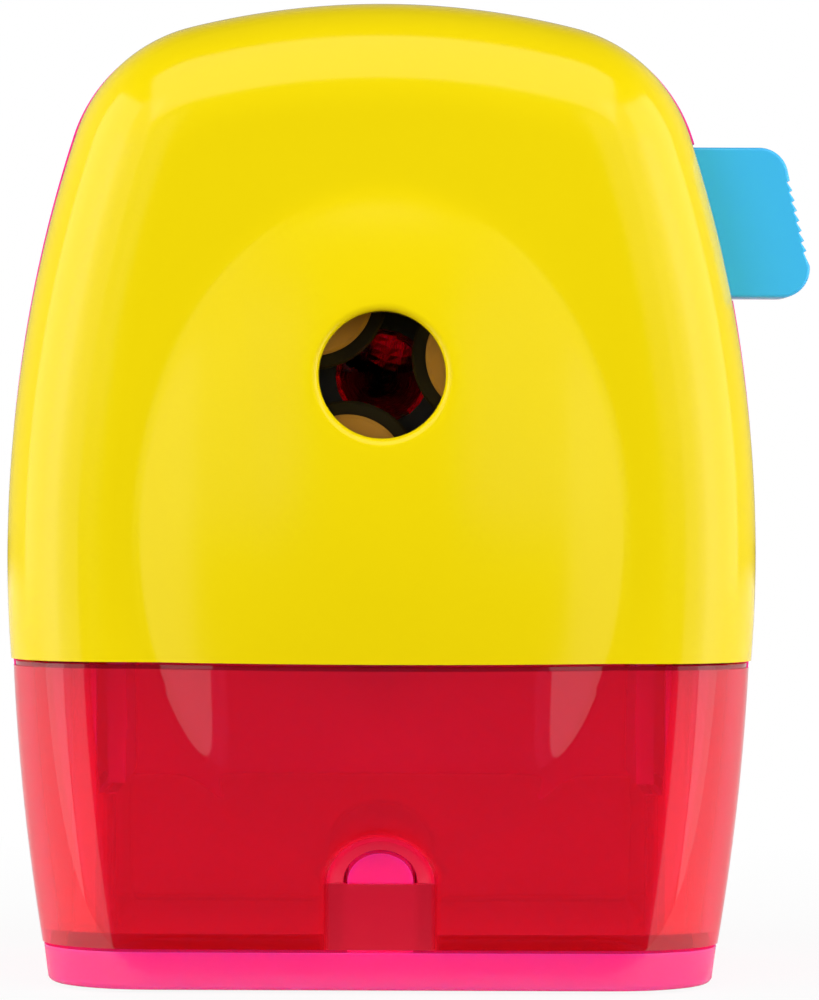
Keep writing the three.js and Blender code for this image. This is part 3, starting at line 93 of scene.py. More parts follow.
# ---------------------------------------------------------------- studio
# White table and surround. The room in front of the object is darker, so that its flat face
# keeps its full colour, and soft boxes stand to the left, to the right, above and behind.
FLOOR_SIZE = 6.0
FLOOR_FRONT = -0.045
FLOOR_WHITE = 0.85
LAMPS_AT = (0, 0, 0.05)
FLAG_SIZE = (0.4, 1.6)
FLAG_WATTS = 1.1
FLAG_FOOT = (0.228, -0.445)
FLAG_FOOT_SIZE = (0.056, 0.25)


def linear(red, green, blue):
    """Display colour of 0 to 255 a channel, as scene-linear RGBA: ((c + 0.055) / 1.055)^2.4."""
    c = np.array([red, green, blue]) / 255
    c = np.where(c > 0.04045, ((c + 0.055) / 1.055) ** 2.4, c / 12.92)
    return (*c.tolist(), 1.0)


def adder(tree):
    """The function that adds a node to a tree, with its settings and inputs."""

    def add(kind, settings=None, **inputs):
        node = tree.nodes.new(f"ShaderNode{kind}")
        for key, value in (settings or {}).items():
            setattr(node, key, value)
        for key, value in inputs.items():
            socket = node.inputs[int(key[1:])] if key[0] == "_" else node.inputs[key.replace("_", " ")]
            if isinstance(value, bpy.types.NodeSocket):
                tree.links.new(value, socket)
            else:
                socket.default_value = value
        return node

    return add


def new_nodes(tree):
    """Empties a node tree and gives the function that fills it."""
    tree.nodes.clear()
    return adder(tree)


def soft_box(name, place, towards, size, watts, seen_in_gloss=True):
    """A square area light that faces a point."""
    data = bpy.data.lights.new(name, "AREA")
    data.shape = "RECTANGLE"
    data.size, data.size_y = size
    data.energy = watts
    lamp = linked(name, data)
    lamp.location = place
    aim = Vector(towards) - lamp.location
    lamp.rotation_euler = aim.to_track_quat("-Z", "Y").to_euler()
    lamp.visible_glossy = seen_in_gloss
    lamp.visible_transmission = seen_in_gloss
    lamp.visible_camera = False
    return lamp


def maths(add, operation, a, b=0.0):
    """The outcome of an operation on one or two values."""
    return add("Math", {"operation": operation}, _0=a, _1=b).outputs[0]


def ramp(add, value, low, high, at_low=0.0, at_high=1.0, way="LINEAR"):
    """Goes from at_low to at_high while the value goes from low to high."""
    limits = {"From_Min": low, "From_Max": high, "To_Min": at_low, "To_Max": at_high}
    return add("MapRange", {"interpolation_type": way}, Value=value, **limits).outputs["Result"]


def axes_of(add, space="Object"):
    """The X, Y and Z of a point in a space."""
    return add("SeparateXYZ", Vector=add("TexCoord").outputs[space]).outputs


def seen_rays(add):
    """Is 1 where the camera looks straight at a surface, or through something clear."""
    rays = add("LightPath").outputs
    return maths(add, "MAXIMUM", rays["Is Camera Ray"], rays["Is Transmission Ray"])


world = bpy.data.worlds.new("studio")
bpy.context.scene.world = world
world.use_nodes = True
add = new_nodes(world.node_tree)
direction = axes_of(add, "Generated")
room = ramp(add, direction["Y"], -0.2, 0.5, 0.02, 0.35, "SMOOTHSTEP")
height = ramp(add, direction["Z"], 0.3, 0.8, 1.0, 0.1, "SMOOTHSTEP")
dim = maths(add, "MULTIPLY", room, height)
strength = add("Mix", {"data_type": "FLOAT"}, _0=seen_rays(add), _2=dim, _3=1.0)
backdrop = add("Background", Color=(1, 1, 1, 1), Strength=strength.outputs[0])
add("OutputWorld", Surface=backdrop.outputs[0])

for side, way in (("left", -1), ("right", 1)):
    soft_box(f"key_{side}", (way * 0.6, -1.05, 0.35), LAMPS_AT, (0.5, 0.6), 3.4, seen_in_gloss=False)
    soft_box(f"fill_{side}", (way * 1.0, -0.45, 0.2), LAMPS_AT, (0.5, 0.6), 4.9, seen_in_gloss=False)
    flag = soft_box(f"flag_{side}", (way * 0.77, -0.638, 0.1), LAMPS_AT, FLAG_SIZE, FLAG_WATTS)
    beside = flag.rotation_euler.to_matrix() @ Vector((-way * FLAG_FOOT[0], FLAG_FOOT[1], 0))
    foot_at, foot_towards = flag.location + beside, Vector(LAMPS_AT) + beside
    soft_box(f"flag_foot_{side}", foot_at, foot_towards, FLAG_FOOT_SIZE, 0.024)
    soft_box(f"wall_{side}", (way * 0.996, -0.087, 0.1), LAMPS_AT, (0.85, 1.6), 5.2)
for side, way in (("left", -1), ("right", 1)):
    soft_box(f"back_{side}", (way * 0.8, 1.0, 0.5), LAMPS_AT, (0.6, 0.6), 5.0, seen_in_gloss=False)
soft_box("overhead", (0, -0.478, 0.878), LAMPS_AT, (1.5, 0.89), 4.6)


def mesh_from(name, vertices, faces):
    """A mesh of whole arrays of vertices and faces."""
    mesh = bpy.data.meshes.new(name)
    mesh.from_pydata(np.asarray(vertices).tolist(), [], [list(face) for face in faces])
    return mesh


def new_material(name):
    """A material with no nodes yet, and the function that adds them."""
    material = bpy.data.materials.new(name)
    material.use_nodes = True
    return material, new_nodes(material.node_tree)


half = FLOOR_SIZE / 2
corners = [(-half, FLOOR_FRONT, 0), (half, FLOOR_FRONT, 0), (half, half, 0), (-half, half, 0)]
floor_mesh = mesh_from("table_top", corners, [(0, 1, 2, 3)])
table_top = linked("table_top", floor_mesh)
paper, add = new_material("white_paper")
sheet = add("BsdfDiffuse", Color=(FLOOR_WHITE, FLOOR_WHITE, FLOOR_WHITE, 1))
glow = add("Emission", Color=(1, 1, 1, 1), Strength=1.0)
away = add("VectorMath", {"operation": "LENGTH"}, _0=add("TexCoord").outputs["Object"])
fade = ramp(add, away.outputs["Value"], 0.06, 0.2, 0.9, 1.0)
share = maths(add, "MULTIPLY", seen_rays(add), fade)
top = add("MixShader", _0=share, _1=sheet.outputs[0], _2=glow.outputs[0])
add("OutputMaterial", Surface=top.outputs[0])
floor_mesh.materials.append(paper)

# ---------------------------------------------------------------- front cover
# The yellow upper front, one moulding of ABS 2.2 mm thick: bowed sides and top, an 11 mm round
# to the face, a low oval dome and the pencil hole with its tube. Screwed on from the back.
TOP_R = 80.2 * MM
CORNER_R = 16.4 * MM
SIDE_R = 136.5 * MM
WIDEST_Z = 43.7 * MM
EDGE_R = 11 * MM
WALL = 2.2 * MM
DOME_HALF = (24.6 * MM, 34.85 * MM)
DOME_Z = 45.55 * MM
DOME_EDGE_SOFT = 0.3 * MM
HOLE_R = 6.34 * MM
MOUTH_R = 0.9 * MM
COLLAR_WALL = 1.9 * MM
YELLOW = linear(240, 214, 7)

joints = {joint["name"]: joint for joint in frame["joints"]}
axis_z = joints["crank_turn"]["pos_m"][2]


def arc(centre, radius, start, end, count):
    """Points centre + radius (cos a, sin a), with a from start to end, the last one left out."""
    angle = np.linspace(start, end, count, endpoint=False)
    return np.stack([centre[0] + radius * np.cos(angle), centre[1] + radius * np.sin(angle)], 1)


def side_circles(form):
    """Circles (centre, radius) that the body's side follows, from the bowed side down.

    form is (half width, height, widest z, flank radius). A form with a heel adds the height of
    the bend and the heel's radius: the heel meets the flank there in a smooth line.
    """
    half_width, _, widest, flank_r, *heel = form
    circles = [(np.array([half_width - r, widest]), r) for r in (SIDE_R, flank_r)]
    if heel:
        bend, heel_r = heel
        lean = math.asin((bend - widest) / flank_r)
        inwards = (flank_r - heel_r) * np.array([math.cos(lean), math.sin(lean)])
        circles.append((circles[1][0] + inwards, heel_r))
    return circles


def half_width_at(form, z):
    """Half the body's width at a height."""
    circles = side_circles(form)
    at = 0 if z >= form[2] else 2 if len(form) > 4 and z < form[4] else 1
    centre, radius = circles[at]
    return centre[0] + math.sqrt(radius**2 - (z - centre[1]) ** 2)


def body_outline(form, inset, low_z, foot_round=0.0, fine=1):
    """Outline in x and z from the right foot over the top to the left foot, set in by inset.

    A chain of tangent arcs about fixed centres: foot round, heel, flank, side, shoulder and top,
    each with its radius less the inset.
    """
    height, widest, flank_r = form[1:4]
    top = np.array([0, height - TOP_R])
    circles = side_circles(form)
    side, flank = circles[0][0], circles[1][0]
    reach_a, reach_b = TOP_R - CORNER_R, SIDE_R - CORNER_R
    apart = side - top
    distance = np.hypot(*apart)
    along = (reach_a**2 - reach_b**2 + distance**2) / (2 * distance)
    off = math.sqrt(reach_a**2 - along**2)
    unit = apart / distance
    foot = top + unit * along
    options = [foot + off * np.array([-unit[1], unit[0]]) * way for way in (1, -1)]
    corner = max(options, key=lambda p: p[0])
    side_end = math.atan2(*(corner - side)[::-1])
    top_start = math.atan2(*(corner - top)[::-1])
    right = []
    if low_z < widest:
        centre, radius = circles[-1]
        radius -= inset
        low = math.asin((low_z + foot_round - centre[1]) / radius)
        if foot_round:
            ball = (centre[0] + (radius - foot_round) * math.cos(low), low_z + foot_round)
            right.append(arc(ball, foot_round, -math.pi / 2, low, 8 * fine))
        if len(circles) > 2:
            lean = math.asin((form[4] - widest) / flank_r)
            right.append(arc(centre, radius, low, lean, 10 * fine))
            low = lean
        right.append(arc(flank, flank_r - inset, low, 0, 14 * fine))
    right.append(arc(side, SIDE_R - inset, 0, side_end, 30 * fine))
    right.append(arc(corner, CORNER_R - inset, side_end, top_start, 26 * fine))
    right.append(arc(top, TOP_R - inset, top_start, math.pi / 2, 24 * fine))
    right = np.concatenate(right)
    crown = np.array([[0, height - inset]])
    return np.concatenate([right, crown, right[::-1] * [-1, 1]])


def dome_height(x, z, inset=0.0):
    """Dome above the flat: proud (1 - (x/a)^2 - (z/b)^2), eased into zero by a smooth maximum."""
    a, b = (half - 0.6 * inset for half in DOME_HALF)
    rise = (DOME_PROUD - 0.01 * MM) * (1 - (x / a) ** 2 - ((z - DOME_Z) / b) ** 2)
    return (rise + np.sqrt(rise**2 + DOME_EDGE_SOFT**2)) / 2


def quads(index, closed=False):
    """Quads between neighbouring rows and columns of an index grid."""
    if closed:
        index = np.concatenate([index, index[:, :1]], 1)
    parts = [index[:-1, :-1], index[:-1, 1:], index[1:, 1:], index[1:, :-1]]
    return np.stack(parts, -1).reshape(-1, 4)


def edge_stations(depth_round, inset, count):
    """Depth and inset round an edge, t from 0 to 90 degrees: R - r cos t and R - r sin t."""
    t = np.linspace(0, math.pi / 2, count)
    radius = depth_round - inset
    return depth_round - radius * np.cos(t), depth_round - radius * np.sin(t)


def finish_mesh(mesh, sharp):
    """Merges doubles, turns the faces outwards and shades smooth up to an angle in degrees."""
    work = bmesh.new()
    work.from_mesh(mesh)
    bmesh.ops.remove_doubles(work, verts=work.verts, dist=1e-7)
    bmesh.ops.recalc_face_normals(work, faces=work.faces)
    work.to_mesh(mesh)
    work.free()
    mesh.shade_smooth()
    mesh.set_sharp_from_angle(angle=math.radians(sharp))


def piece_of(name, mesh, material, sharp=35.0, keep_flats=True):
    """A finished piece from a mesh: faces outwards, smooth up to an angle, flats kept flat."""
    mesh.materials.clear()
    finish_mesh(mesh, sharp)
    mesh.materials.append(material)
    piece = linked(name, mesh)
    if keep_flats:
        steady = piece.modifiers.new("flat_normals", "WEIGHTED_NORMAL")
        steady.keep_sharp = True
    return piece


def place(piece, body, slot, *nodes):
    """Hangs the piece on the body it rides on and hides the nodes it stands for. slot: not used."""
    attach(piece, body)
    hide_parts(*nodes)


def pattern(add, kind, **settings):
    """What a texture or mapping node makes of the object's own coordinates."""
    return add(kind, Vector=add("TexCoord").outputs["Object"], **settings).outputs[0]


def blend(add, share, color_at_0, color_at_1):
    """Goes from one colour to the other as the share goes from 0 to 1."""
    return add("Mix", {"data_type": "RGBA"}, _0=share, _6=color_at_0, _7=color_at_1).outputs[2]


def mottled(add, share, color, low, high):
    """The colour times low to times high, as the share goes from 0 to 1."""
    shades = [(*[min(1, c * times) for c in color[:3]], 1) for times in (low, high)]
    return blend(add, share, *shades)


def surfaced(add, tint, bump, **settings):
    """Makes the material's surface from a colour, a bump and other settings."""
    skin = add("BsdfPrincipled", Base_Color=tint, Normal=bump.outputs["Normal"], **settings)
    add("OutputMaterial", Surface=skin.outputs[0])


def moulded_plastic(name, color, roughness=0.2, glow=0.0, shine=0.5):
    """Glossy moulded plastic: faint flow marks in colour and gloss, and a very fine ripple."""
    material, add = new_material(name)
    flow = pattern(add, "TexNoise", Scale=60.0, Detail=3.0, Roughness=0.55)
    gloss = ramp(add, flow, 0.3, 0.7, roughness * 0.88, roughness * 1.12)
    ripple = pattern(add, "TexNoise", Scale=900.0, Detail=2.0)
    bump = add("Bump", Strength=0.03, Distance=0.00004, Height=ripple)
    settings = {"Roughness": gloss, "IOR": 1.5, "Specular_IOR_Level": shine}
    if glow:
        settings |= {"Subsurface_Weight": 1.0, "Subsurface_Radius": (1.0, 0.2, 0.4), "Subsurface_Scale": glow}
    surfaced(add, mottled(add, flow, color, 0.985, 1.015), bump, **settings)
    return material


def cover_mesh():
    """The cover as one closed skin.

    Rays run from the pencil axis to the edge of the flat face and to the seam. On each ray the
    rings go from the tube's end out through the round mouth and over the dome to the flat; from
    there rows of set-in outlines go round the edge to the joint line. The inside repeats this.
    """
    form = (cover_high.x, cover_high.z, WIDEST_Z, SIDE_R)
    seam = cover_low.z
    rim = body_outline(form, EDGE_R, seam)
    seam_x = np.linspace(rim[-1, 0], rim[0, 0], 140)[1:-1]
    loop = np.concatenate([rim, np.stack([seam_x, np.full_like(seam_x, seam)], 1)])
    centre = np.array([0, axis_z])
    ray = loop - centre
    reach = np.hypot(*ray.T)
    unit = ray / reach[:, None]
    a, b = DOME_HALF
    drop = axis_z - DOME_Z
    p = (unit[:, 0] / a) ** 2 + (unit[:, 1] / b) ** 2
    q = unit[:, 1] * drop / b**2
    crease = (-q + np.sqrt(q**2 - p * ((drop / b) ** 2 - 1))) / p
    crease = np.minimum(crease, 0.97 * reach)

    def rings(start):
        """Distances from the axis: from start to the dome's edge, then on to the face's edge."""
        near = 1 - (1 - np.linspace(0, 1, 34)[:, None]) ** 1.5
        far = np.linspace(0, 1, 14)[1:, None] ** 1.5
        return np.concatenate([start + (crease - start) * near, crease + (reach - crease) * far])

    def on_rays(distance, y):
        """Points at distances along the rays, with their y."""
        x = unit[:, 0] * distance
        z = axis_z + unit[:, 1] * distance
        return np.stack([x, y(x, z) if callable(y) else np.broadcast_to(y, x.shape), z], -1)

    def strip(inset):
        """Rows round the edge, from the flat to the joint line."""
        depth, inwards = edge_stations(EDGE_R, inset, 18)
        rows = [body_outline(form, i, seam) for i in inwards[1:]]
        y = list(face_y + depth[1:]) + [cover_high.y]
        rows.append(rows[-1])
        return np.stack([np.insert(row, 1, level, 1) for row, level in zip(rows, y)])

    def outer_y(x, z):
        return face_y - dome_height(x, z)

    def inner_y(x, z):
        return face_y + WALL - dome_height(x, z, WALL)

    tube_end = face_y + WALL
    turn = np.linspace(math.pi / 2, 0, 9)[:-1, None]
    mouth_r = np.broadcast_to(HOLE_R + MOUTH_R * (1 - np.sin(turn)), (8, len(loop)))
    mouth = on_rays(mouth_r, outer_y)
    mouth[..., 1] += MOUTH_R * (1 - np.cos(turn))
    bore = np.repeat(mouth[:1], 6, 0)
    share = np.linspace(1, 0, 6, endpoint=False)[:, None]
    bore[..., 1] += (tube_end - bore[..., 1]) * share
    outside = np.concatenate([bore, mouth, on_rays(rings(HOLE_R + MOUTH_R), outer_y)])
    collar_r = HOLE_R + COLLAR_WALL
    tube_rim = on_rays(np.full((1, len(loop)), collar_r), tube_end)
    inside = np.concatenate([tube_rim, on_rays(rings(collar_r), inner_y)])
    outer_strip, inner_strip = strip(0.0), strip(WALL)

    blocks = [outside, inside, outer_strip, inner_strip]
    starts = np.cumsum([0] + [block[..., 0].size for block in blocks])
    out_i, in_i, out_s, in_s = (
        start + np.arange(block[..., 0].size).reshape(block.shape[:2]) for start, block in zip(starts, blocks)
    )
    count = len(rim)
    out_s = np.concatenate([out_i[-1:, :count], out_s])
    in_s = np.concatenate([in_i[-1:, :count], in_s])

    def border(grid, rows):
        """The skin's free edge: down one end, along the joint line, back up and along the seam."""
        return np.concatenate([rows[:, 0], rows[-1, 1:], rows[-2::-1, -1], grid[-1, count:]])

    faces = np.concatenate([
        quads(out_i, True),
        quads(in_i, True),
        quads(np.stack([out_i[0], in_i[0]]), True),
        quads(out_s),
        quads(in_s),
        quads(np.stack([border(out_i, out_s), border(in_i, in_s)]), True),
    ])
    return np.concatenate([block.reshape(-1, 3) for block in blocks]), faces


yellow = moulded_plastic("yellow_gloss", YELLOW, 0.13)
shell = mesh_from("front_cover_shell", *cover_mesh())
cover = piece_of("front_cover_shell", shell, yellow, keep_flats=False)
place(cover, "housing", "yellow_plastic", "front_cover")

# ---------------------------------------------------------------- drawer
# Shavings drawer of clear red styrene, moulded in one: the body's front below the cover, with a
# thin set-back lip, a lower box behind, an arched tunnel for the rail and a scooped thumb pull.
DRAWER_INSET = 0.4 * MM
DRAWER_FLANK_R = 234 * MM
DRAWER_WALL = 1.6 * MM
FLOOR_T = 1.5 * MM
LIP_H = 0.45 * MM
LIP_BACK = 0.25 * MM
BOX_TOP = 19.2 * MM
OVER_TOP = 40 * MM
SIDE_BAND = 7.6 * MM
BOX_FLOOR_R = 1.2 * MM
BOX_WALL = 1.4 * MM
BOX_CORNER_R = 2.5 * MM
BOX_FRONT_R = 0.1 * MM
RAIL_Z = 11 * MM
ARCH_LOW = 0.88
TUNNEL_R = 3.75 * MM
TUNNEL_OUT_R = 5.7 * MM
PULL_R = 5.4 * MM
PULL_DEEP = 2.3 * MM
SATIN_HAZE = 0.8
WING_HAZE = 0.62
# How far the drawer's top lip is darkened by painted shade, for the shadow under the cover's edge.
LIP_SHADE_SHARE = 0.6
CLEAR_RED = (0.96, 0.12, 0.36, 1.0)
HAZE_RED = (0.98, 0.003, 0.01, 1.0)
SATIN_RED = (0.8, 0.004, 0.05, 1.0)
PULL_RED = (0.5, 0.002, 0.02, 1.0)
WING_RED = (0.76, 0.002, 0.02, 1.0)
# Near-black red of that painted shade on the lip.
LIP_SHADE_RED = (0.12, 0.0, 0.01, 1.0)
SHADE_RED = (1.0, 0.8, 0.9, 1.0)


def rings_solid(grid):
    """A closed shape from rows of points: each row a closed ring, the first and last filled flat."""
    grid = np.asarray(grid)
    index = np.arange(grid[..., 0].size).reshape(grid.shape[:2])
    faces = quads(index, True).tolist()
    return grid.reshape(-1, 3), [*faces, index[0, ::-1].tolist(), index[-1].tolist()]


def along_y(outline, stations):
    """A shape of constant or changing outline: each (y, outline) station is a ring of x and z."""
    return rings_solid([np.insert(ring, 1, y, 1) for y, ring in zip(stations, outline)])


def prism(outline, low_y, high_y):
    """An outline in x and z, straight from low_y to high_y."""
    return along_y([outline, outline], [low_y, high_y])


def block(x0, x1, y0, y1, z0, z1):
    """A box between two corners."""
    return prism(np.array([[x0, z0], [x1, z0], [x1, z1], [x0, z1]]), y0, y1)


def plan_solid(low, high, radii, levels, insets):
    """A box with upright round corners: rows of z, each the plan rectangle set in by an inset.

    A corner of radius r keeps its centre, and runs centre + (r - inset) (cos a, sin a).
    """
    rows = []
    for level, inset in zip(levels, insets):
        ring = []
        for turn, ((way_x, way_y), r) in enumerate(zip(((1, 1), (-1, 1), (-1, -1), (1, -1)), radii)):
            x, y = (high if way_x > 0 else low)[0], (high if way_y > 0 else low)[1]
            angle = np.linspace(0, math.pi / 2, 10) + turn * math.pi / 2
            centre = (x - way_x * r, y - way_y * r)
            ring.append(centre + (r - inset) * np.stack([np.cos(angle), np.sin(angle)], 1))
        rows.append(np.insert(np.concatenate(ring), 2, level, 1))
    return rings_solid(rows)


def arch(radius, low_z):
    """A doorway's outline: upright sides from low_z to a flattened half round at the rail's height."""
    angle = np.linspace(0, math.pi, 33)
    top = np.stack([radius * np.cos(angle), RAIL_Z + ARCH_LOW * radius * np.sin(angle)], 1)
    return np.concatenate([[[radius, low_z]], top, [[-radius, low_z]]])


def shaped(base, *steps):
    """Mesh of a closed shape after each (sign, shape) step: + joins, - cuts away, & keeps within."""
    operations = {"+": "UNION", "-": "DIFFERENCE", "&": "INTERSECT"}
    made = []
    for shape in [base, *[shape for _, shape in steps]]:
        data = mesh_from("blank", *shape)
        finish_mesh(data, 30)
        made.append(linked("blank", data))
    for (sign, _), tool in zip(steps, made[1:]):
        modifier = made[0].modifiers.new("step", "BOOLEAN")
        modifier.operation = operations[sign]
        modifier.solver = "MANIFOLD"
        modifier.object = tool
    graph = bpy.context.evaluated_depsgraph_get()
    mesh = bpy.data.meshes.new_from_object(made[0].evaluated_get(graph))
    for blank in made:
        data = blank.data
        bpy.data.objects.remove(blank)
        bpy.data.meshes.remove(data)
    return mesh


def front_block(form, inset, levels, end_y):
    """The body's rounded, domed front as a block.

    Rows are levels of z. Each runs in plan from one side's end round the edge, across the face
    and round to the other end. Columns on the face bunch at the dome's edge, x = a sqrt(1 - v^2).
    """
    half_width, _, widest, flank_r = form
    z = np.asarray(levels)[:, None]

    def width(inwards):
        return half_width - flank_r + np.sqrt((flank_r - inwards) ** 2 - (z - widest) ** 2)

    depth, inwards = edge_stations(EDGE_R, inset, 16)
    side_x = width(inwards[None, 1:])
    side_y = np.broadcast_to(face_y + depth[1:], side_x.shape)
    a, b = (reach - 0.6 * inset for reach in DOME_HALF)
    edge_x = a * np.sqrt(np.clip(1 - ((z - DOME_Z) / b) ** 2, (5 * MM / a) ** 2, 0.999))
    flat_x = width(EDGE_R)
    edge_x = np.minimum(edge_x, 0.94 * flat_x)
    bunch = 1 - (1 - np.linspace(0, 1, 36)) ** 1.6
    spread = np.linspace(0, 1, 12)[1:] ** 1.5
    half_face = np.concatenate([edge_x * bunch, edge_x + (flat_x - edge_x) * spread], 1)
    face_x = np.concatenate([-half_face[:, :0:-1], half_face], 1)
    face_level = face_y + inset - dome_height(face_x, z, inset)
    end = np.full_like(z, end_y)
    x = np.concatenate([-side_x[:, -1:], -side_x[:, ::-1], face_x, side_x, side_x[:, -1:]], 1)
    y = np.concatenate([end, side_y[:, ::-1], face_level, side_y, end], 1)
    return rings_solid(np.stack([x, y, np.broadcast_to(z, x.shape)], -1))


def levels_between(low, high):
    """Heights from low to high about 0.5 mm apart, closer by the foot of the dome."""
    even = np.arange(low, high, 0.5 * MM)
    foot = DOME_Z - DOME_HALF[1]
    close = np.linspace(foot - 0.5 * MM, foot + 1.2 * MM, 12)
    inside = close[(close > low + 0.05 * MM) & (close < high - 0.05 * MM)]
    kept = even[np.min(np.abs(even[:, None] - close), 1) > 0.1 * MM]
    return np.unique(np.concatenate([[low], kept, inside, [high]]))


def pull_scoop():
    """Upper half of an oval bowl: half rings of radius r sqrt(1 - (depth/deep)^2) along y."""
    depth = PULL_DEEP * np.sin(np.linspace(math.pi / 2 - 0.03, 0, 16))
    radius = PULL_R * np.sqrt(1 - (depth / PULL_DEEP) ** 2)
    depth, radius = np.append(depth, -8 * MM), np.append(radius, PULL_R)
    angle = np.linspace(0, math.pi, 40)
    half_ring = np.stack([np.cos(angle), ARCH_LOW * np.sin(angle)], 1)
    return along_y([half_ring * r + [0, RAIL_Z] for r in radius], face_y + depth)


drawer_low, drawer_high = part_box("drawer")
drawer_form = (cover_high.x - DRAWER_INSET, cover_high.z, WIDEST_Z, DRAWER_FLANK_R)
drawer_top = drawer_high.z - LIP_H
wing_end = cover_high.y - 0.3 * MM
wing_in = wing_end - DRAWER_WALL
floor_top = drawer_low.z + FLOOR_T
box_half_w = half_width_at(drawer_form, floor_top) - SIDE_BAND + BOX_WALL
box_low = (-box_half_w, wing_in)
box_high = (box_half_w, drawer_high.y)
hollow_low = (BOX_WALL - box_half_w, wing_in - 3 * MM)
hollow_high = (box_half_w - BOX_WALL, drawer_high.y - BOX_WALL)
box_radii = [BOX_CORNER_R] * 2 + [BOX_FRONT_R] * 2
hollow_radii = [BOX_CORNER_R - BOX_WALL] * 2 + [BOX_FRONT_R] * 2
rise, inwards = edge_stations(BOX_FLOOR_R, 0, 7)
hollow_levels, hollow_insets = [*(floor_top + rise), OVER_TOP], [*inwards, 0]
drawer_mesh = shaped(
    front_block(drawer_form, 0, levels_between(drawer_low.z, drawer_top), wing_end),
    ("+", front_block(drawer_form, LIP_BACK, [drawer_top - MM, drawer_high.z], wing_end - LIP_BACK)),
    ("+", plan_solid(box_low, box_high, box_radii, [drawer_low.z, BOX_TOP], [0, 0])),
    ("-", front_block(drawer_form, DRAWER_WALL, levels_between(floor_top, OVER_TOP), wing_in)),
    ("-", plan_solid(hollow_low, hollow_high, hollow_radii, hollow_levels, hollow_insets)),
    ("-", prism(body_outline(drawer_form, SIDE_BAND, BOX_TOP), wing_in - MM, wing_end + MM)),
    ("+", prism(arch(TUNNEL_OUT_R, drawer_low.z), face_y + DRAWER_WALL - 0.5 * MM, drawer_high.y)),
    ("-", prism(arch(TUNNEL_R, 0), face_y + DRAWER_WALL, drawer_high.y + MM)),
    ("-", pull_scoop()),
)


def clear_plastic(name, color, haze, haze_share, shade):
    """Clear coloured styrene: tinted where light goes through, glossy, with a faint mould ripple.

    Part of the light scatters in the pigment (haze), more of it in the satin thumb pull: a ring of
    reach d about the rail's arch above its ledge, and everything nearer than d below it; and more
    in the flanks of the side wings, where the wall stands edge on. The thin lip at the top edge is
    darkened with painted shade, which stands in for the shadow under the cover's edge. Shadow and
    bounced rays go straight through, tinted by the shade.
    """
    material, add = new_material(name)
    axes = axes_of(add)
    across = maths(add, "ABSOLUTE", axes["X"])
    rise = maths(add, "DIVIDE", maths(add, "SUBTRACT", axes["Z"], RAIL_Z), ARCH_LOW)
    rise = maths(add, "MAXIMUM", rise, 0.0)
    squares = [maths(add, "MULTIPLY", length, length) for length in (across, rise)]
    reach = maths(add, "SQRT", maths(add, "ADD", *squares))
    outer = ramp(add, reach, PULL_R - 0.4 * MM, PULL_R + 0.8 * MM, 1.0, 0.0)
    ring = ramp(add, reach, TUNNEL_R - 0.3 * MM, TUNNEL_R)
    below = ramp(add, axes["Z"], RAIL_Z - 0.05 * MM, RAIL_Z + 0.05 * MM, 1.0, 0.0)
    satin = maths(add, "MULTIPLY", outer, maths(add, "MAXIMUM", ring, below))
    behind = ramp(add, axes["Y"], face_y + 0.4 * EDGE_R, face_y + 0.65 * EDGE_R)
    wing = maths(add, "MULTIPLY", behind, ramp(add, across, 31 * MM, 32 * MM))
    cloudy = ramp(add, satin, 0.0, 1.0, haze_share, SATIN_HAZE)
    cloudy = maths(add, "MAXIMUM", cloudy, ramp(add, wing, 0.0, 1.0, haze_share, WING_HAZE))
    # Painted shade: the lip above the drawer's top is blended towards a near-black red, for the shadow under
    # the cover's edge.
    lip = ramp(add, axes["Z"], drawer_top - 0.02 * MM, drawer_top + 0.05 * MM, 0.0, LIP_SHADE_SHARE)
    tint = mottled(add, pattern(add, "TexNoise", Scale=45.0, Detail=2.0), color, 0.97, 1.03)
    deep = blend(add, lip, tint, LIP_SHADE_RED)
    frosted = blend(add, below, SATIN_RED, PULL_RED)
    pigment = blend(add, wing, blend(add, satin, haze, frosted), WING_RED)
    pigment = blend(add, lip, pigment, LIP_SHADE_RED)
    ripple = pattern(add, "TexNoise", Scale=300.0, Detail=1.0)
    bump = add("Bump", Strength=0.02, Distance=0.0001, Height=ripple)
    front = ramp(add, behind, 0.0, 1.0, 0.9, 0.1)
    coat = maths(add, "MULTIPLY", front, ramp(add, satin, 0.0, 1.0, 1.0, 0.0))
    rough = ramp(add, satin, 0.0, 1.0, 0.03, 0.4)
    both = {"Normal": bump.outputs["Normal"], "IOR": 1.5, "Roughness": rough, "Coat_Weight": coat}
    surface = add("BsdfPrincipled", Base_Color=deep, Transmission_Weight=1.0, **both)
    cloud = add("BsdfPrincipled", Base_Color=pigment, **both)
    body = add("MixShader", _0=cloudy, _1=surface.outputs[0], _2=cloud.outputs[0])
    rays = add("LightPath").outputs
    unseen = maths(add, "MAXIMUM", rays["Is Shadow Ray"], rays["Is Diffuse Ray"])
    passing = add("BsdfTransparent", Color=shade)
    whole = add("MixShader", _0=unseen, _1=body.outputs[0], _2=passing.outputs[0])
    add("OutputMaterial", Surface=whole.outputs[0])
    return material


clear_red = clear_plastic("clear_red", CLEAR_RED, HAZE_RED, 0.22, SHADE_RED)
drawer = piece_of("shavings_drawer", drawer_mesh, clear_red)
place(drawer, "drawer", "red_clear", "drawer")

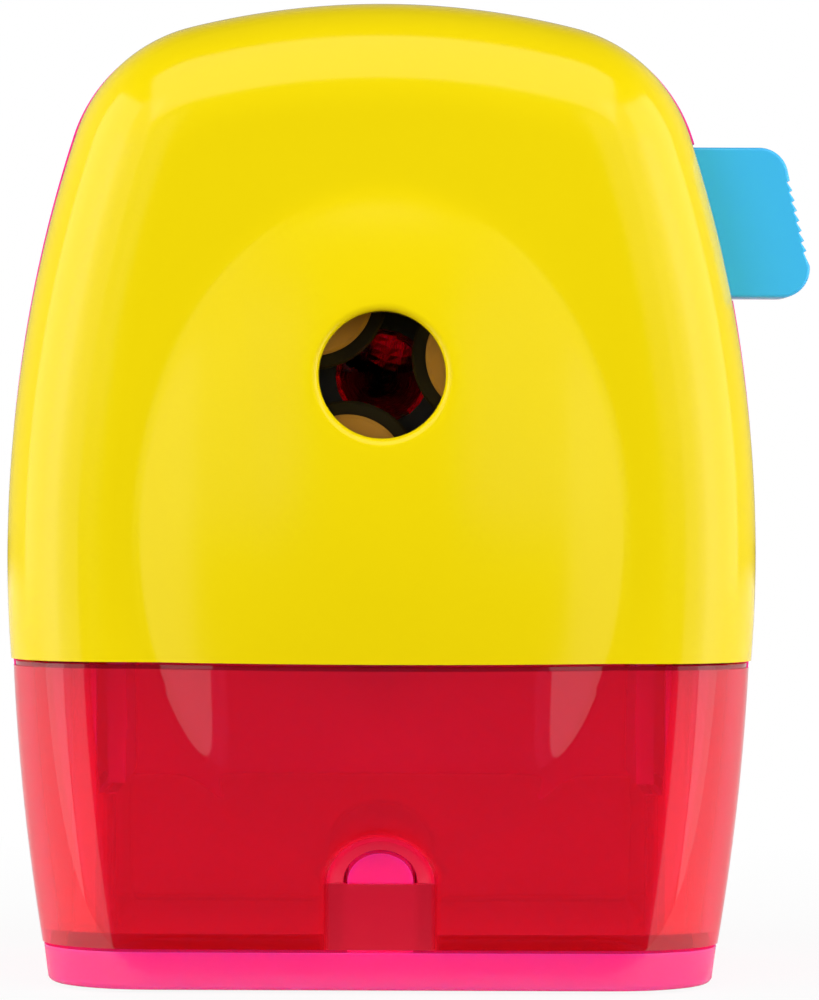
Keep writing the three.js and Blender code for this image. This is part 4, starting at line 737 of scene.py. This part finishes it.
# ---------------------------------------------------------------- rear housing
# Pink ABS shell behind the cover, with the floor that carries the drawer's rail, two chute ribs
# and four screw posts that open at the back in deep wells. Moulded in one, rounded at the back.
REAR_PROUD = 0.14 * MM
REAR_LIFT = 1 * MM
HOUSING_FLANK_R = 120 * MM
HOUSING_HEEL_R = 1100 * MM
REAR_R = 7 * MM
UNDER_R = 0.8 * MM
SILL_Z = 4.07 * MM
BASE_EDGE_R = 0.4 * MM
RAIL_R = 3.3 * MM
CHUTE = (26.5 * MM, 28.5 * MM, -4 * MM, 19.7 * MM, 46 * MM)
GUIDE_T = 1.5 * MM
POST_R = 4.1 * MM
POSTS = [(21 * MM, 90.5 * MM), (-21 * MM, 90.5 * MM), (30.5 * MM, 38.5 * MM), (-30.5 * MM, 38.5 * MM)]
SHANK_HOLE_R = 1.5 * MM
WELL_R = 2.9 * MM
WELL_DEEP = 6 * MM
HUB_NOSE_R = 7.3 * MM
HUB_SCREW_AT = 12.4 * MM
FOOT_WELL = (4.3 * MM, 1.5 * MM)
KEEL_W = 16 * MM
LEVER_IN_X = 26 * MM
POCKET_DEEP = 1.6 * MM
POCKET_END = 18 * MM
HUB_SCREW_HOLE = (1.2 * MM, 2.3 * MM, 1.2 * MM)
GUIDE_PLAY = 0.8 * MM
FAR = 0.3
HOT_PINK = linear(255, 48, 132)


def disc(radius, x=0.0, z=0.0, sides=64):
    """Points of a circle in x and z."""
    angle = np.arange(sides) * 2 * math.pi / sides
    return np.stack([x + radius * np.cos(angle), z + radius * np.sin(angle)], 1)


def rod(radius, y0, y1, x=0.0, z=0.0, sides=64):
    """A round bar along y."""
    return prism(disc(radius, x, z, sides), y0, y1)


def hole(radius, x, z, sides=64):
    """A round bar along y, longer than anything."""
    return rod(radius, -FAR, FAR, x, z, sides)


def body_block(form, inset, front, rear, low_z, foot_round=0.0):
    """The whole body as rings along y, each the outline set in as the end's round asks.

    front and rear are (y, radius); with no radius that end is cut off flat.
    """
    stations = []
    for (end_y, radius), way in ((front, 1), (rear, -1)):
        if radius:
            depth, inwards = edge_stations(radius, inset, 16)
            part = list(zip(end_y + way * depth, inwards))
        else:
            part = [(end_y, inset)]
        stations += part[::way]
    outlines = [body_outline(form, i, low_z, foot_round) for _, i in stations]
    return along_y(outlines, [y for y, _ in stations])


housing_low, housing_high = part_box("rear_housing")
lever_low, lever_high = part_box("clamp_lever")
part_y, back_y = cover_high.y, housing_high.y
housing_form = (
    cover_high.x + REAR_PROUD,
    cover_high.z + REAR_PROUD / 2,
    WIDEST_Z + REAR_LIFT,
    HOUSING_FLANK_R,
    drawer_top - 0.45 * MM,
    HOUSING_HEEL_R,
)
rail = prism(arch(RAIL_R, SILL_Z - MM), face_y + DRAWER_WALL + 0.3 * MM, back_y - WALL + MM)
rise, inwards = edge_stations(BASE_EDGE_R, 0, 8)
base_levels = [*(housing_low.z + rise), housing_low.z + BASE_EDGE_R, 0.12]
base_insets = [*inwards, -0.05, -0.05]
guide_x = box_half_w + GUIDE_PLAY
base_half = half_width_at(housing_form, 1.5 * MM)
base_radii = [REAR_R, REAR_R, EDGE_R, EDGE_R]
base_pad = plan_solid((-base_half, face_y), (base_half, back_y), base_radii, base_levels, base_insets)
steps = [
    ("&", base_pad),
    ("-", block(-FAR, FAR, -FAR, part_y, SILL_Z, FAR)),
    ("-", body_block(housing_form, WALL, (part_y + WALL, 0), (back_y, REAR_R), SILL_Z)),
    ("-", body_block(housing_form, WALL, (face_y, 0), (part_y + WALL + MM, 0), drawer_top)),
    ("-", block(-guide_x, guide_x, -FAR, part_y + WALL + MM, SILL_Z, drawer_top + MM)),
    ("+", rail),
]
for x0, x1 in ((guide_x, guide_x + GUIDE_T), (-guide_x - GUIDE_T, -guide_x)):
    steps.append(("+", block(x0, x1, part_y, back_y - WALL + MM, SILL_Z - MM, BOX_TOP)))
for way in (-1, 1):
    x0, x1 = sorted((way * CHUTE[0], way * CHUTE[1]))
    steps.append(("+", block(x0, x1, CHUTE[2], back_y - WALL + MM, CHUTE[3], CHUTE[4])))
steps += [("+", rod(POST_R, part_y + 0.15 * MM, back_y - WALL + 0.05 * MM, x, z)) for x, z in POSTS]
for x, z in POSTS:
    steps += [("-", hole(SHANK_HOLE_R, x, z)), ("-", rod(WELL_R, part_y + WELL_DEEP, FAR, x, z))]
steps.append(("-", rod(HUB_NOSE_R, 0, FAR, 0, axis_z)))
for angle in np.radians([90, 210, 330]):
    x, z = HUB_SCREW_AT * math.cos(angle), axis_z + HUB_SCREW_AT * math.sin(angle)
    shank_r, head_r, head_deep = HUB_SCREW_HOLE
    steps.append(("-", rod(shank_r, 0, FAR, x, z)))
    steps.append(("-", rod(head_r, back_y - head_deep, FAR, x, z)))
notch_z = (lever_low.z + 2.7 * MM, lever_high.z + 0.3 * MM)
steps.append(("-", block(LEVER_IN_X, FAR, part_y - MM, part_y + 8.6 * MM, *notch_z)))
for number in range(1, 5):
    low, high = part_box(f"foot_{number}")
    x, y = (low.x + high.x) / 2, (low.y + high.y) / 2
    r, top = FOOT_WELL
    steps.append(("-", plan_solid((x - r, y - r), (x + r, y + r), [r] * 4, [-MM, top], [0, 0])))
pocket_y = back_y - POCKET_END
for way in (-1, 1):
    x0, x1 = sorted((way * KEEL_W / 2, way * (box_half_w - 3 * MM)))
    corners = [2 * MM] * 4
    pocket = plan_solid((x0, -pocket_y), (x1, pocket_y), corners, [-MM, housing_low.z + POCKET_DEEP], [0, 0])
    steps.append(("-", pocket))
housing_mesh = shaped(
    body_block(housing_form, 0, (face_y, EDGE_R), (back_y, REAR_R), housing_low.z, UNDER_R), *steps
)
pink = moulded_plastic("pink_gloss", HOT_PINK, 0.16, glow=4 * MM, shine=0.85)
housing = piece_of("rear_shell", housing_mesh, pink)
place(housing, "housing", "pink_plastic", "rear_housing")

# ---------------------------------------------------------------- clamp lever
# Blue ABS lever that slides in at the right to open the jaws: a flat grip with a saw-toothed
# edge outside, and a web and rack bar inside, moulded in one and guided by the cover.
LEVER_H = 15.4 * MM
LEVER_PROUD = 8.62 * MM
LEVER_LEAN = math.radians(13.4)
LEVER_T = 8 * MM
LEVER_CORNER_R = 3 * MM
LEVER_EDGE_R = 0.35 * MM
TOOTH_PITCH = 1.03 * MM
TOOTH_DEEP = 0.32 * MM
TEETH = 8
WEB = (20 * MM, 24.5 * MM)
RACK_Y = (-21.798 * MM, -19.798 * MM)
RACK_LEFT = 12 * MM
LUG = 3 * MM
RACK_MODULE = 0.8 * MM
RACK_PITCH_Z = axis_z + 20 * MM
BLUE = linear(68, 193, 255)

lever_top = lever_high.z
lever_bottom = lever_top - LEVER_H
lever_front = part_y + 0.3 * MM
lever_back = lever_front + LEVER_T
lean = np.array([math.cos(LEVER_LEAN), math.sin(LEVER_LEAN)])


def grip_outline(inset):
    """The grip's outline from its lower left corner round to its upper left.

    Two corner arcs about fixed centres with radius less the inset, and between them the leaning
    edge, where each tooth runs out to a tip over 0.78 of its pitch, downwards, and drops back.
    """
    middle = (lever_top + lever_bottom) / 2
    reach = lean[0] * (half_width_at(housing_form, middle) + LEVER_PROUD) + lean[1] * middle
    centres = []
    for z in (lever_bottom + LEVER_CORNER_R, lever_top - LEVER_CORNER_R):
        centres.append(np.array([(reach - LEVER_CORNER_R - lean[1] * z) / lean[0], z]))
    r = LEVER_CORNER_R - inset
    low_corner = arc(centres[0], r, -math.pi / 2, LEVER_LEAN, 14)
    high_corner = arc(centres[1], r, LEVER_LEAN, math.pi / 2, 14)
    foot = middle + (np.arange(TEETH) + 1 - TEETH / 2) * TOOTH_PITCH
    z = np.stack([foot, foot + 0.04 * MM, foot + 0.22 * TOOTH_PITCH, foot + 0.3 * TOOTH_PITCH], 1).ravel()
    deep = np.tile([TOOTH_DEEP, TOOTH_DEEP, 0, 0.02 * MM], TEETH) * (1 - 0.6 * inset / LEVER_EDGE_R)
    x = (reach - inset - deep - lean[1] * z) / lean[0]
    left = [[LEVER_IN_X, lever_bottom + inset]]
    ends = [[centres[1][0], lever_top - inset], [LEVER_IN_X, lever_top - inset]]
    edge = np.stack([x, z], 1)
    return np.concatenate([left, low_corner, edge, high_corner, ends])


def eased_prism(outline, low_y, high_y, edge_r, count):
    """A prism whose long edges are rounded by R (1 - sin t); outline(inset) is its outline."""
    depth, inwards = edge_stations(edge_r, 0, count)
    stations = [*(low_y + depth), *(high_y - depth[::-1])]
    return along_y([outline(i) for i in (*inwards, *inwards[::-1])], stations)


def rack_bar():
    """The rack bar's outline: teeth with sides at 20 degrees, cut into its lower edge."""
    low = RACK_PITCH_Z + 1.15 * RACK_MODULE
    pitch = math.pi * RACK_MODULE
    middle = (np.arange(-2, 5) + 0.5) * pitch
    out = np.array([-1.15, 0.9, 0.9, -1.15]) * RACK_MODULE
    half = pitch / 4 - 0.11 * MM - out * math.tan(math.radians(20))
    x = middle[:, None] + half * [-1, -1, 1, 1]
    teeth = np.stack([x, np.broadcast_to(RACK_PITCH_Z - out, x.shape)], -1).reshape(-1, 2)
    right = WEB[0] + 2 * MM
    left_end, right_end = [[-RACK_LEFT, lever_top], [-RACK_LEFT, low]], [[right, low], [right, lever_top]]
    return np.concatenate([left_end, teeth, right_end])


lug_x = half_width_at(housing_form, lever_bottom) - WALL - 0.6 * MM
bar_low = RACK_PITCH_Z + 1.15 * RACK_MODULE
lever_mesh = shaped(
    eased_prism(grip_outline, lever_front, lever_back, LEVER_EDGE_R, 5),
    ("+", block(lug_x - LUG, lug_x, lever_front, lever_back, lever_bottom - LUG, lever_bottom + MM)),
    ("+", block(WEB[0], LEVER_IN_X + MM, lever_front, lever_back, bar_low, lever_top)),
    ("+", block(*WEB, RACK_Y[0], lever_back, bar_low, lever_top)),
    ("+", prism(rack_bar(), *RACK_Y)),
)
blue = moulded_plastic("blue_gloss", BLUE, 0.2)
lever = piece_of("clamp_lever_moulding", lever_mesh, blue)
place(lever, "lever", "blue_plastic", "clamp_lever")

# ---------------------------------------------------------------- jaws
# Three amber acetal jaws on posts behind the pencil hole. Each grips with a round lobe in two
# steps, the front one smaller, and a pin at its back runs in the cam ring.
JAW_AT = math.radians(10.8)
LOBE_AT = 10.6 * MM
LOBE_FRONT_R = 6.06 * MM
LOBE_REAR_R = 7.45 * MM
LOBE_EDGE = 0.35 * MM
JAW_ARM = 7 * MM
JAW_EYE_R = 2.9 * MM
JAW_POST_R = 1.6 * MM
CAM_PIN = (13.5 * MM, 1.1 * MM)
JAW_STEP = 1.2 * MM
AMBER = linear(168, 122, 48)
# Near-black colour painted on the jaws' rear step as shade.
REAR_STEP_SHADE = (0.012, 0.009, 0.004, 1.0)


def turned(profile, x=0.0, z=0.0, sides=64):
    """A closed shape turned about a line along y: circles of each (radius, y) of the profile."""
    radii, levels = np.asarray(profile).T
    return along_y([disc(r, x, z, sides) for r in radii], levels)


def shade_behind(material, y, color):
    """Paints shade into a moulding behind a given y, over 0.1 mm: its colour blends into the given dark
    colour there.
    """
    tree = material.node_tree
    add = adder(tree)
    surface = next(node for node in tree.nodes if node.type == "BSDF_PRINCIPLED")
    base = surface.inputs["Base Color"]
    rear_shade = ramp(add, axes_of(add)["Y"], y - 0.1 * MM, y)
    tree.links.new(blend(add, rear_shade, base.links[0].from_socket, color), base)


amber = moulded_plastic("amber_acetal", AMBER, 0.34)
# Painted shade: the jaws' rear step, which lies in shadow behind the front step, is coloured near black.
shade_behind(amber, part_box("jaw_1")[0].y + JAW_STEP, REAR_STEP_SHADE)
for number in range(3):
    node = f"jaw_{number + 1}"
    y0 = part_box(node)[0].y
    middle_y, y1 = y0 + JAW_STEP, y0 + 2 * JAW_STEP
    angle = JAW_AT + number * 2 * math.pi / 3
    outwards = np.array([math.cos(angle), math.sin(angle)])
    sideways = np.array([-outwards[1], outwards[0]])
    axis = np.array([0, axis_z])
    lobe = axis + LOBE_AT * outwards
    eye = lobe + JAW_ARM * sideways
    pin = axis + CAM_PIN[0] * outwards
    front_edge = [(LOBE_FRONT_R - LOBE_EDGE, y0), (LOBE_FRONT_R, y0 + LOBE_EDGE), (LOBE_FRONT_R, y1)]
    rear_edge = [(LOBE_REAR_R - 0.25 * MM, middle_y), (LOBE_REAR_R, middle_y + 0.25 * MM), (LOBE_REAR_R, y1)]
    jaw_mesh = shaped(
        turned(front_edge, *lobe, 128),
        ("+", turned(rear_edge, *lobe, 128)),
        ("+", turned([(JAW_EYE_R - 0.3 * MM, y0), (JAW_EYE_R, y0 + 0.3 * MM), (JAW_EYE_R, y1)], *eye)),
        ("+", rod(CAM_PIN[1], middle_y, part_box(node)[1].y, *pin, 32)),
        ("-", hole(JAW_POST_R, *eye, 32)),
    )
    jaw = piece_of(f"jaw_moulding_{number + 1}", jaw_mesh, amber, 30)
    place(jaw, node, "amber_plastic", node)

# ---------------------------------------------------------------- crank
# Blue ABS arm keyed on the steel shaft and held by one screw, and a yellow barrel knob that
# turns on a riveted steel pin at its lower end.
CRANK_R = 30 * MM
ARM_BOSS_R = 6.6 * MM
ARM_EYE_R = 5.2 * MM
ARM_T = 4 * MM
ARM_EDGE_R = 0.8 * MM
ARM_RIM = 1.7 * MM
ARM_DISH = 0.7 * MM
BOSS_BACK_R = 5.6 * MM
SHAFT_HOLE_R = 3.2 * MM
PIN_HOLE_R = 2 * MM
PIN_SINK_R = 3.4 * MM
PIN_SINK = 1.4 * MM
KNOB_RIBS = 24
KNOB_CUP = (3.5 * MM, 1.5 * MM)

arm_low, arm_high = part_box("crank_arm")
knob_low, knob_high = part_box("knob")
arm_y = arm_high.y - ARM_T
knob_z = axis_z - CRANK_R


def arm_outline(inset):
    """Two arcs joined by straight tangents: the boss about the shaft and the eye about the pin."""
    boss_r, eye_r = ARM_BOSS_R - inset, ARM_EYE_R - inset
    slant = math.asin((boss_r - eye_r) / CRANK_R)
    boss = arc((0, axis_z), boss_r, -slant, math.pi + slant, 40)
    eye = arc((0, knob_z), eye_r, math.pi + slant, 2 * math.pi - slant, 40)
    boss_end = arc((0, axis_z), boss_r, math.pi + slant, 2 * math.pi, 1)
    eye_end = arc((0, knob_z), eye_r, -slant, math.pi, 1)
    return np.concatenate([boss, boss_end, eye, eye_end])


arm_mesh = shaped(
    eased_prism(arm_outline, arm_y, arm_high.y, ARM_EDGE_R, 7),
    ("-", prism(arm_outline(ARM_RIM), arm_high.y - ARM_DISH, arm_high.y + MM)),
    ("+", rod(ARM_BOSS_R - ARM_RIM - 0.1 * MM, arm_y + MM, arm_high.y, 0, axis_z)),
    ("+", rod(ARM_EYE_R - 0.2 * MM, arm_y + MM, arm_high.y - 0.35 * MM, 0, knob_z)),
    ("+", rod(BOSS_BACK_R, arm_low.y, arm_y + MM, 0, axis_z)),
    ("-", hole(SHAFT_HOLE_R, 0, axis_z)),
    ("-", hole(PIN_HOLE_R, 0, knob_z)),
    ("-", rod(PIN_SINK_R, -FAR, arm_y + PIN_SINK, 0, knob_z)),
)
crank_arm = piece_of("crank_arm_moulding", arm_mesh, blue)
place(crank_arm, "crank", "blue_plastic", "crank_arm")


def knob_barrel():
    """Barrel knob: a smooth curve of radius along y, with shallow grip ribs r (1 + d cos n a)."""
    length = knob_high.y - knob_low.y
    at = np.array([0, 0.02, 0.06, 0.12, 0.25, 0.45, 0.62, 0.78, 0.88, 0.94, 0.975, 0.993, 1])
    r = np.array([4.3, 4.7, 5.0, 5.3, 5.9, 6.55, 6.85, 6.9, 6.8, 6.45, 6.0, 5.4, 4.9]) * MM
    s = np.linspace(0, 1, 90)
    s = (1 - np.cos(s * math.pi)) / 2
    radius = np.interp(s, at, r)
    radius = np.convolve(np.pad(radius, 2, "edge"), np.ones(5) / 5, "valid")
    turn = np.arange(KNOB_RIBS * 10) * 2 * math.pi / (KNOB_RIBS * 10)
    swell = np.clip((s - 0.16) / 0.1, 0, 1) * np.clip((0.86 - s) / 0.1, 0, 1)
    swell = swell * swell * (3 - 2 * swell)
    ribs = 1 - 0.045 * swell[:, None] * (0.5 - 0.5 * np.cos(KNOB_RIBS * turn)) ** 2
    reach = radius[:, None] * ribs
    y = np.broadcast_to((knob_low.y + length * s)[:, None], reach.shape)
    return rings_solid(np.stack([reach * np.cos(turn), y, knob_z + reach * np.sin(turn)], -1))


cup_r, cup_deep = KNOB_CUP
cup = [(cup_r, knob_high.y - cup_deep), (cup_r, knob_high.y - 0.3 * MM), (cup_r + 0.4 * MM, FAR)]
knob_mesh = shaped(
    knob_barrel(),
    ("-", hole(PIN_HOLE_R, 0, knob_z)),
    ("-", turned(cup, 0, knob_z)),
)
knob = piece_of("crank_knob", knob_mesh, yellow, 40)
place(knob, "knob", "yellow_plastic", "knob")

# ---------------------------------------------------------------- steel, bronze and fasteners
# Nickel-plated pan-head screws with cross recesses, the riveted knob pin, the turned steel
# carrier with its shaft, hardened cutter and pinion, and the sintered bronze bush.
STEEL = linear(196, 199, 204)
BRONZE = linear(176, 141, 87)


def turned_metal(name, color, roughness, mark=1.0):
    """Metal with fine tool marks round its own turning line, darker and duller in streaks."""
    material, add = new_material(name)
    stretched = pattern(add, "Mapping", Scale=(1.0, 14.0, 1.0))
    streak = add("TexNoise", Vector=stretched, Scale=420.0, Detail=4.0, Roughness=0.6).outputs[0]
    tint = mottled(add, pattern(add, "TexNoise", Scale=160.0, Detail=3.0), color, 0.82, 1.0)
    gloss = ramp(add, streak, 0.3, 0.7, roughness * 0.75, roughness * 1.3)
    bump = add("Bump", Strength=0.12 * mark, Distance=0.00003, Height=streak)
    surfaced(add, tint, bump, Roughness=gloss, Metallic=1.0)
    return material


steel = turned_metal("plated_steel", STEEL, 0.26)
bronze = turned_metal("sintered_bronze", BRONZE, 0.42, 2.0)


def cross_recess(radius, deep, top_y, x, z):
    """A tapered cross: two crossed bars whose width and length shrink with depth."""
    shapes = []
    for along_x in (True, False):
        rows = []
        for depth, share in ((-0.2 * MM, 1.06), (deep * 0.6, 0.8), (deep, 0.32)):
            long, wide = radius * share, radius * 0.27 * (0.5 + 0.5 * share)
            half_x, half_z = (long, wide) if along_x else (wide, long)
            ring = np.array([[-1, -1], [1, -1], [1, 1], [-1, 1]]) * [half_x, half_z] + [x, z]
            rows.append(np.insert(ring, 1, top_y - depth, 1))
        shapes.append(("-", rings_solid(rows[::-1])))
    return shapes


def screw_mesh(node, head_r, head_t, shank_r):
    """Pan-head screw along y, head towards the back: a domed head profile over a straight shank."""
    low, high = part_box(node)
    x, z = (low.x + high.x) / 2, (low.z + high.z) / 2
    seat = high.y - head_t
    turn = np.linspace(0, math.pi / 2, 9)
    dome = [(head_r * (0.62 + 0.38 * math.cos(t)), seat + head_t * (0.3 + 0.7 * math.sin(t))) for t in turn]
    tip = [(shank_r * 0.45, low.y), (shank_r, low.y + shank_r)]
    profile = [*tip, (shank_r, seat), (head_r, seat), *dome, (head_r * 0.3, high.y)]
    return shaped(turned(profile, x, z, 48), *cross_recess(head_r * 0.62, head_t * 0.8, high.y, x, z))


small = (2 * MM, 1.2 * MM, 0.9 * MM, "housing")
screws = {f"cover_screw_{i}": (2.6 * MM, 1.6 * MM, 1.2 * MM, "housing") for i in range(1, 5)}
screws |= {f"{part}_screw_{i}": small for part in ("hub", "chuck") for i in range(1, 4)}
screws |= {"crank_screw": (3.4 * MM, 1.6 * MM, 1.2 * MM, "crank")}
for node, (head_r, head_t, shank_r, body) in screws.items():
    fastener = piece_of(f"{node}_plated", screw_mesh(node, head_r, head_t, shank_r), steel, 40)
    place(fastener, body, "steel", node)

pin_low, pin_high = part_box("knob_pin")
pin_r, rivet_r, rivet_t = 1.8 * MM, 3.1 * MM, 0.8 * MM
turn = np.linspace(0, math.pi / 2, 8)[:-1]
pin_profile = [
    (rivet_r - 0.2 * MM, pin_low.y),
    (rivet_r, pin_low.y + 0.2 * MM),
    (rivet_r, pin_low.y + rivet_t),
    (pin_r, pin_low.y + rivet_t),
    (pin_r, pin_high.y - rivet_t),
    *[(rivet_r * math.cos(t) + 0.01 * MM, pin_high.y - rivet_t + rivet_t * math.sin(t)) for t in turn],
]
pin_mesh = mesh_from("knob_pin_turned", *turned(pin_profile, 0, knob_z))
knob_pin = piece_of("knob_pin_riveted", pin_mesh, steel, 40)
place(knob_pin, "crank", "steel", "knob_pin")

bush_low, bush_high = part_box("shaft_bush")
bush_r, flange_r, flange_t, ease = 4.6 * MM, 6.2 * MM, 0.8 * MM, 0.2 * MM
bush_profile = [
    (bush_r - ease, bush_low.y),
    (bush_r, bush_low.y + ease),
    (bush_r, bush_high.y - flange_t),
    (flange_r, bush_high.y - flange_t),
    (flange_r, bush_high.y - ease),
    (flange_r - ease, bush_high.y),
]
bush_mesh = shaped(turned(bush_profile, 0, axis_z, 96), ("-", hole(SHAFT_HOLE_R, 0, axis_z)))
bush = piece_of("shaft_bush_turned", bush_mesh, bronze, 40)
place(bush, "housing", "bronze", "shaft_bush")


def refinish(material, *nodes):
    """Gives a material to nodes that are used as they were made."""
    for node in nodes:
        slots = frame["nodes"][node].data.materials
        slots.clear()
        slots.append(material)


refinish(steel, "carrier", "cutter", "pinion", "cutter_axle")

# ---------------------------------------------------------------- return spring
# Six-turn compression spring of hard-drawn steel wire with closed ends, between a bracket in the
# cover and the end of the lever's rack bar. The real one shortens by the lever's travel; this wire is made at
# one length and rides on the housing.
SPRING_WIRE_R = 0.3 * MM
SPRING_TURNS = 6

spring_low, spring_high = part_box("return_spring")


def spring_wire():
    """A round wire along a helix whose first and last turns advance by one wire only.

    The line is (x(t), R cos a, R sin a) with a = 2 pi N t; each ring stands square to it, spanned
    by the outward direction and its cross product with the line's direction.
    """
    low, high = spring_low, spring_high
    coil_r = (high.z - low.z) / 2 - SPRING_WIRE_R
    turns = np.linspace(0, SPRING_TURNS, SPRING_TURNS * 36 + 1)
    start, end = low.x + SPRING_WIRE_R, high.x - SPRING_WIRE_R
    closed = 2.05 * SPRING_WIRE_R
    knots = [0, 1, SPRING_TURNS - 1, SPRING_TURNS]
    x = np.interp(turns, knots, [start, start + closed, end - closed, end])
    out = np.stack([0 * turns, np.cos(2 * math.pi * turns), np.sin(2 * math.pi * turns)], 1)
    middle = np.array([0, (low.y + high.y) / 2, (low.z + high.z) / 2])
    line = middle + coil_r * out + np.stack([x, 0 * x, 0 * x], 1)
    ahead = np.gradient(line, axis=0)
    side = np.cross(ahead / np.linalg.norm(ahead, axis=1)[:, None], out)
    angle = np.arange(12) * 2 * math.pi / 12
    ring = out[:, None] * np.cos(angle)[:, None] + side[:, None] * np.sin(angle)[:, None]
    return rings_solid(line[:, None] + SPRING_WIRE_R * ring)


spring = piece_of("return_spring_wire", mesh_from("spring_wire", *spring_wire()), steel, 60)
place(spring, "housing", "steel", "return_spring")
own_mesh(spring)

# ---------------------------------------------------------------- black nylon and rubber feet
# The cam ring, chuck plate and gear hub are glass-filled nylon, dull and faintly mottled; four
# rubber feet sit in wells in the underside.
NYLON = linear(30, 30, 33)
RUBBER = linear(40, 40, 44)
FOOT_EDGE_R = 0.3 * MM


def dull_black(name, color, roughness, grain):
    """Matt moulding: mottled in tone, with a fine pebbled grain."""
    material, add = new_material(name)
    tint = mottled(add, pattern(add, "TexNoise", Scale=220.0, Detail=4.0), color, 0.7, 1.3)
    pebble = pattern(add, "TexVoronoi", Scale=grain)
    bump = add("Bump", Strength=0.25, Distance=0.00003, Height=pebble)
    surfaced(add, tint, bump, Roughness=roughness)
    return material


nylon = dull_black("black_nylon", NYLON, 0.45, 2600.0)
rubber = dull_black("foot_rubber", RUBBER, 0.8, 1800.0)
refinish(nylon, "cam_ring", "chuck_plate", "gear_hub")
for number in range(1, 5):
    node = f"foot_{number}"
    low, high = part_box(node)
    r = (high.x - low.x) / 2
    rise, inwards = edge_stations(FOOT_EDGE_R, 0, 6)
    levels, insets = [*(low.z + rise), high.z], [*inwards, 0]
    pad = plan_solid((low.x, low.y), (high.x, high.y), [r] * 4, levels, insets)
    foot = piece_of(f"foot_pad_{number}", mesh_from("foot_pad", *pad), rubber)
    place(foot, "housing", "rubber", node)
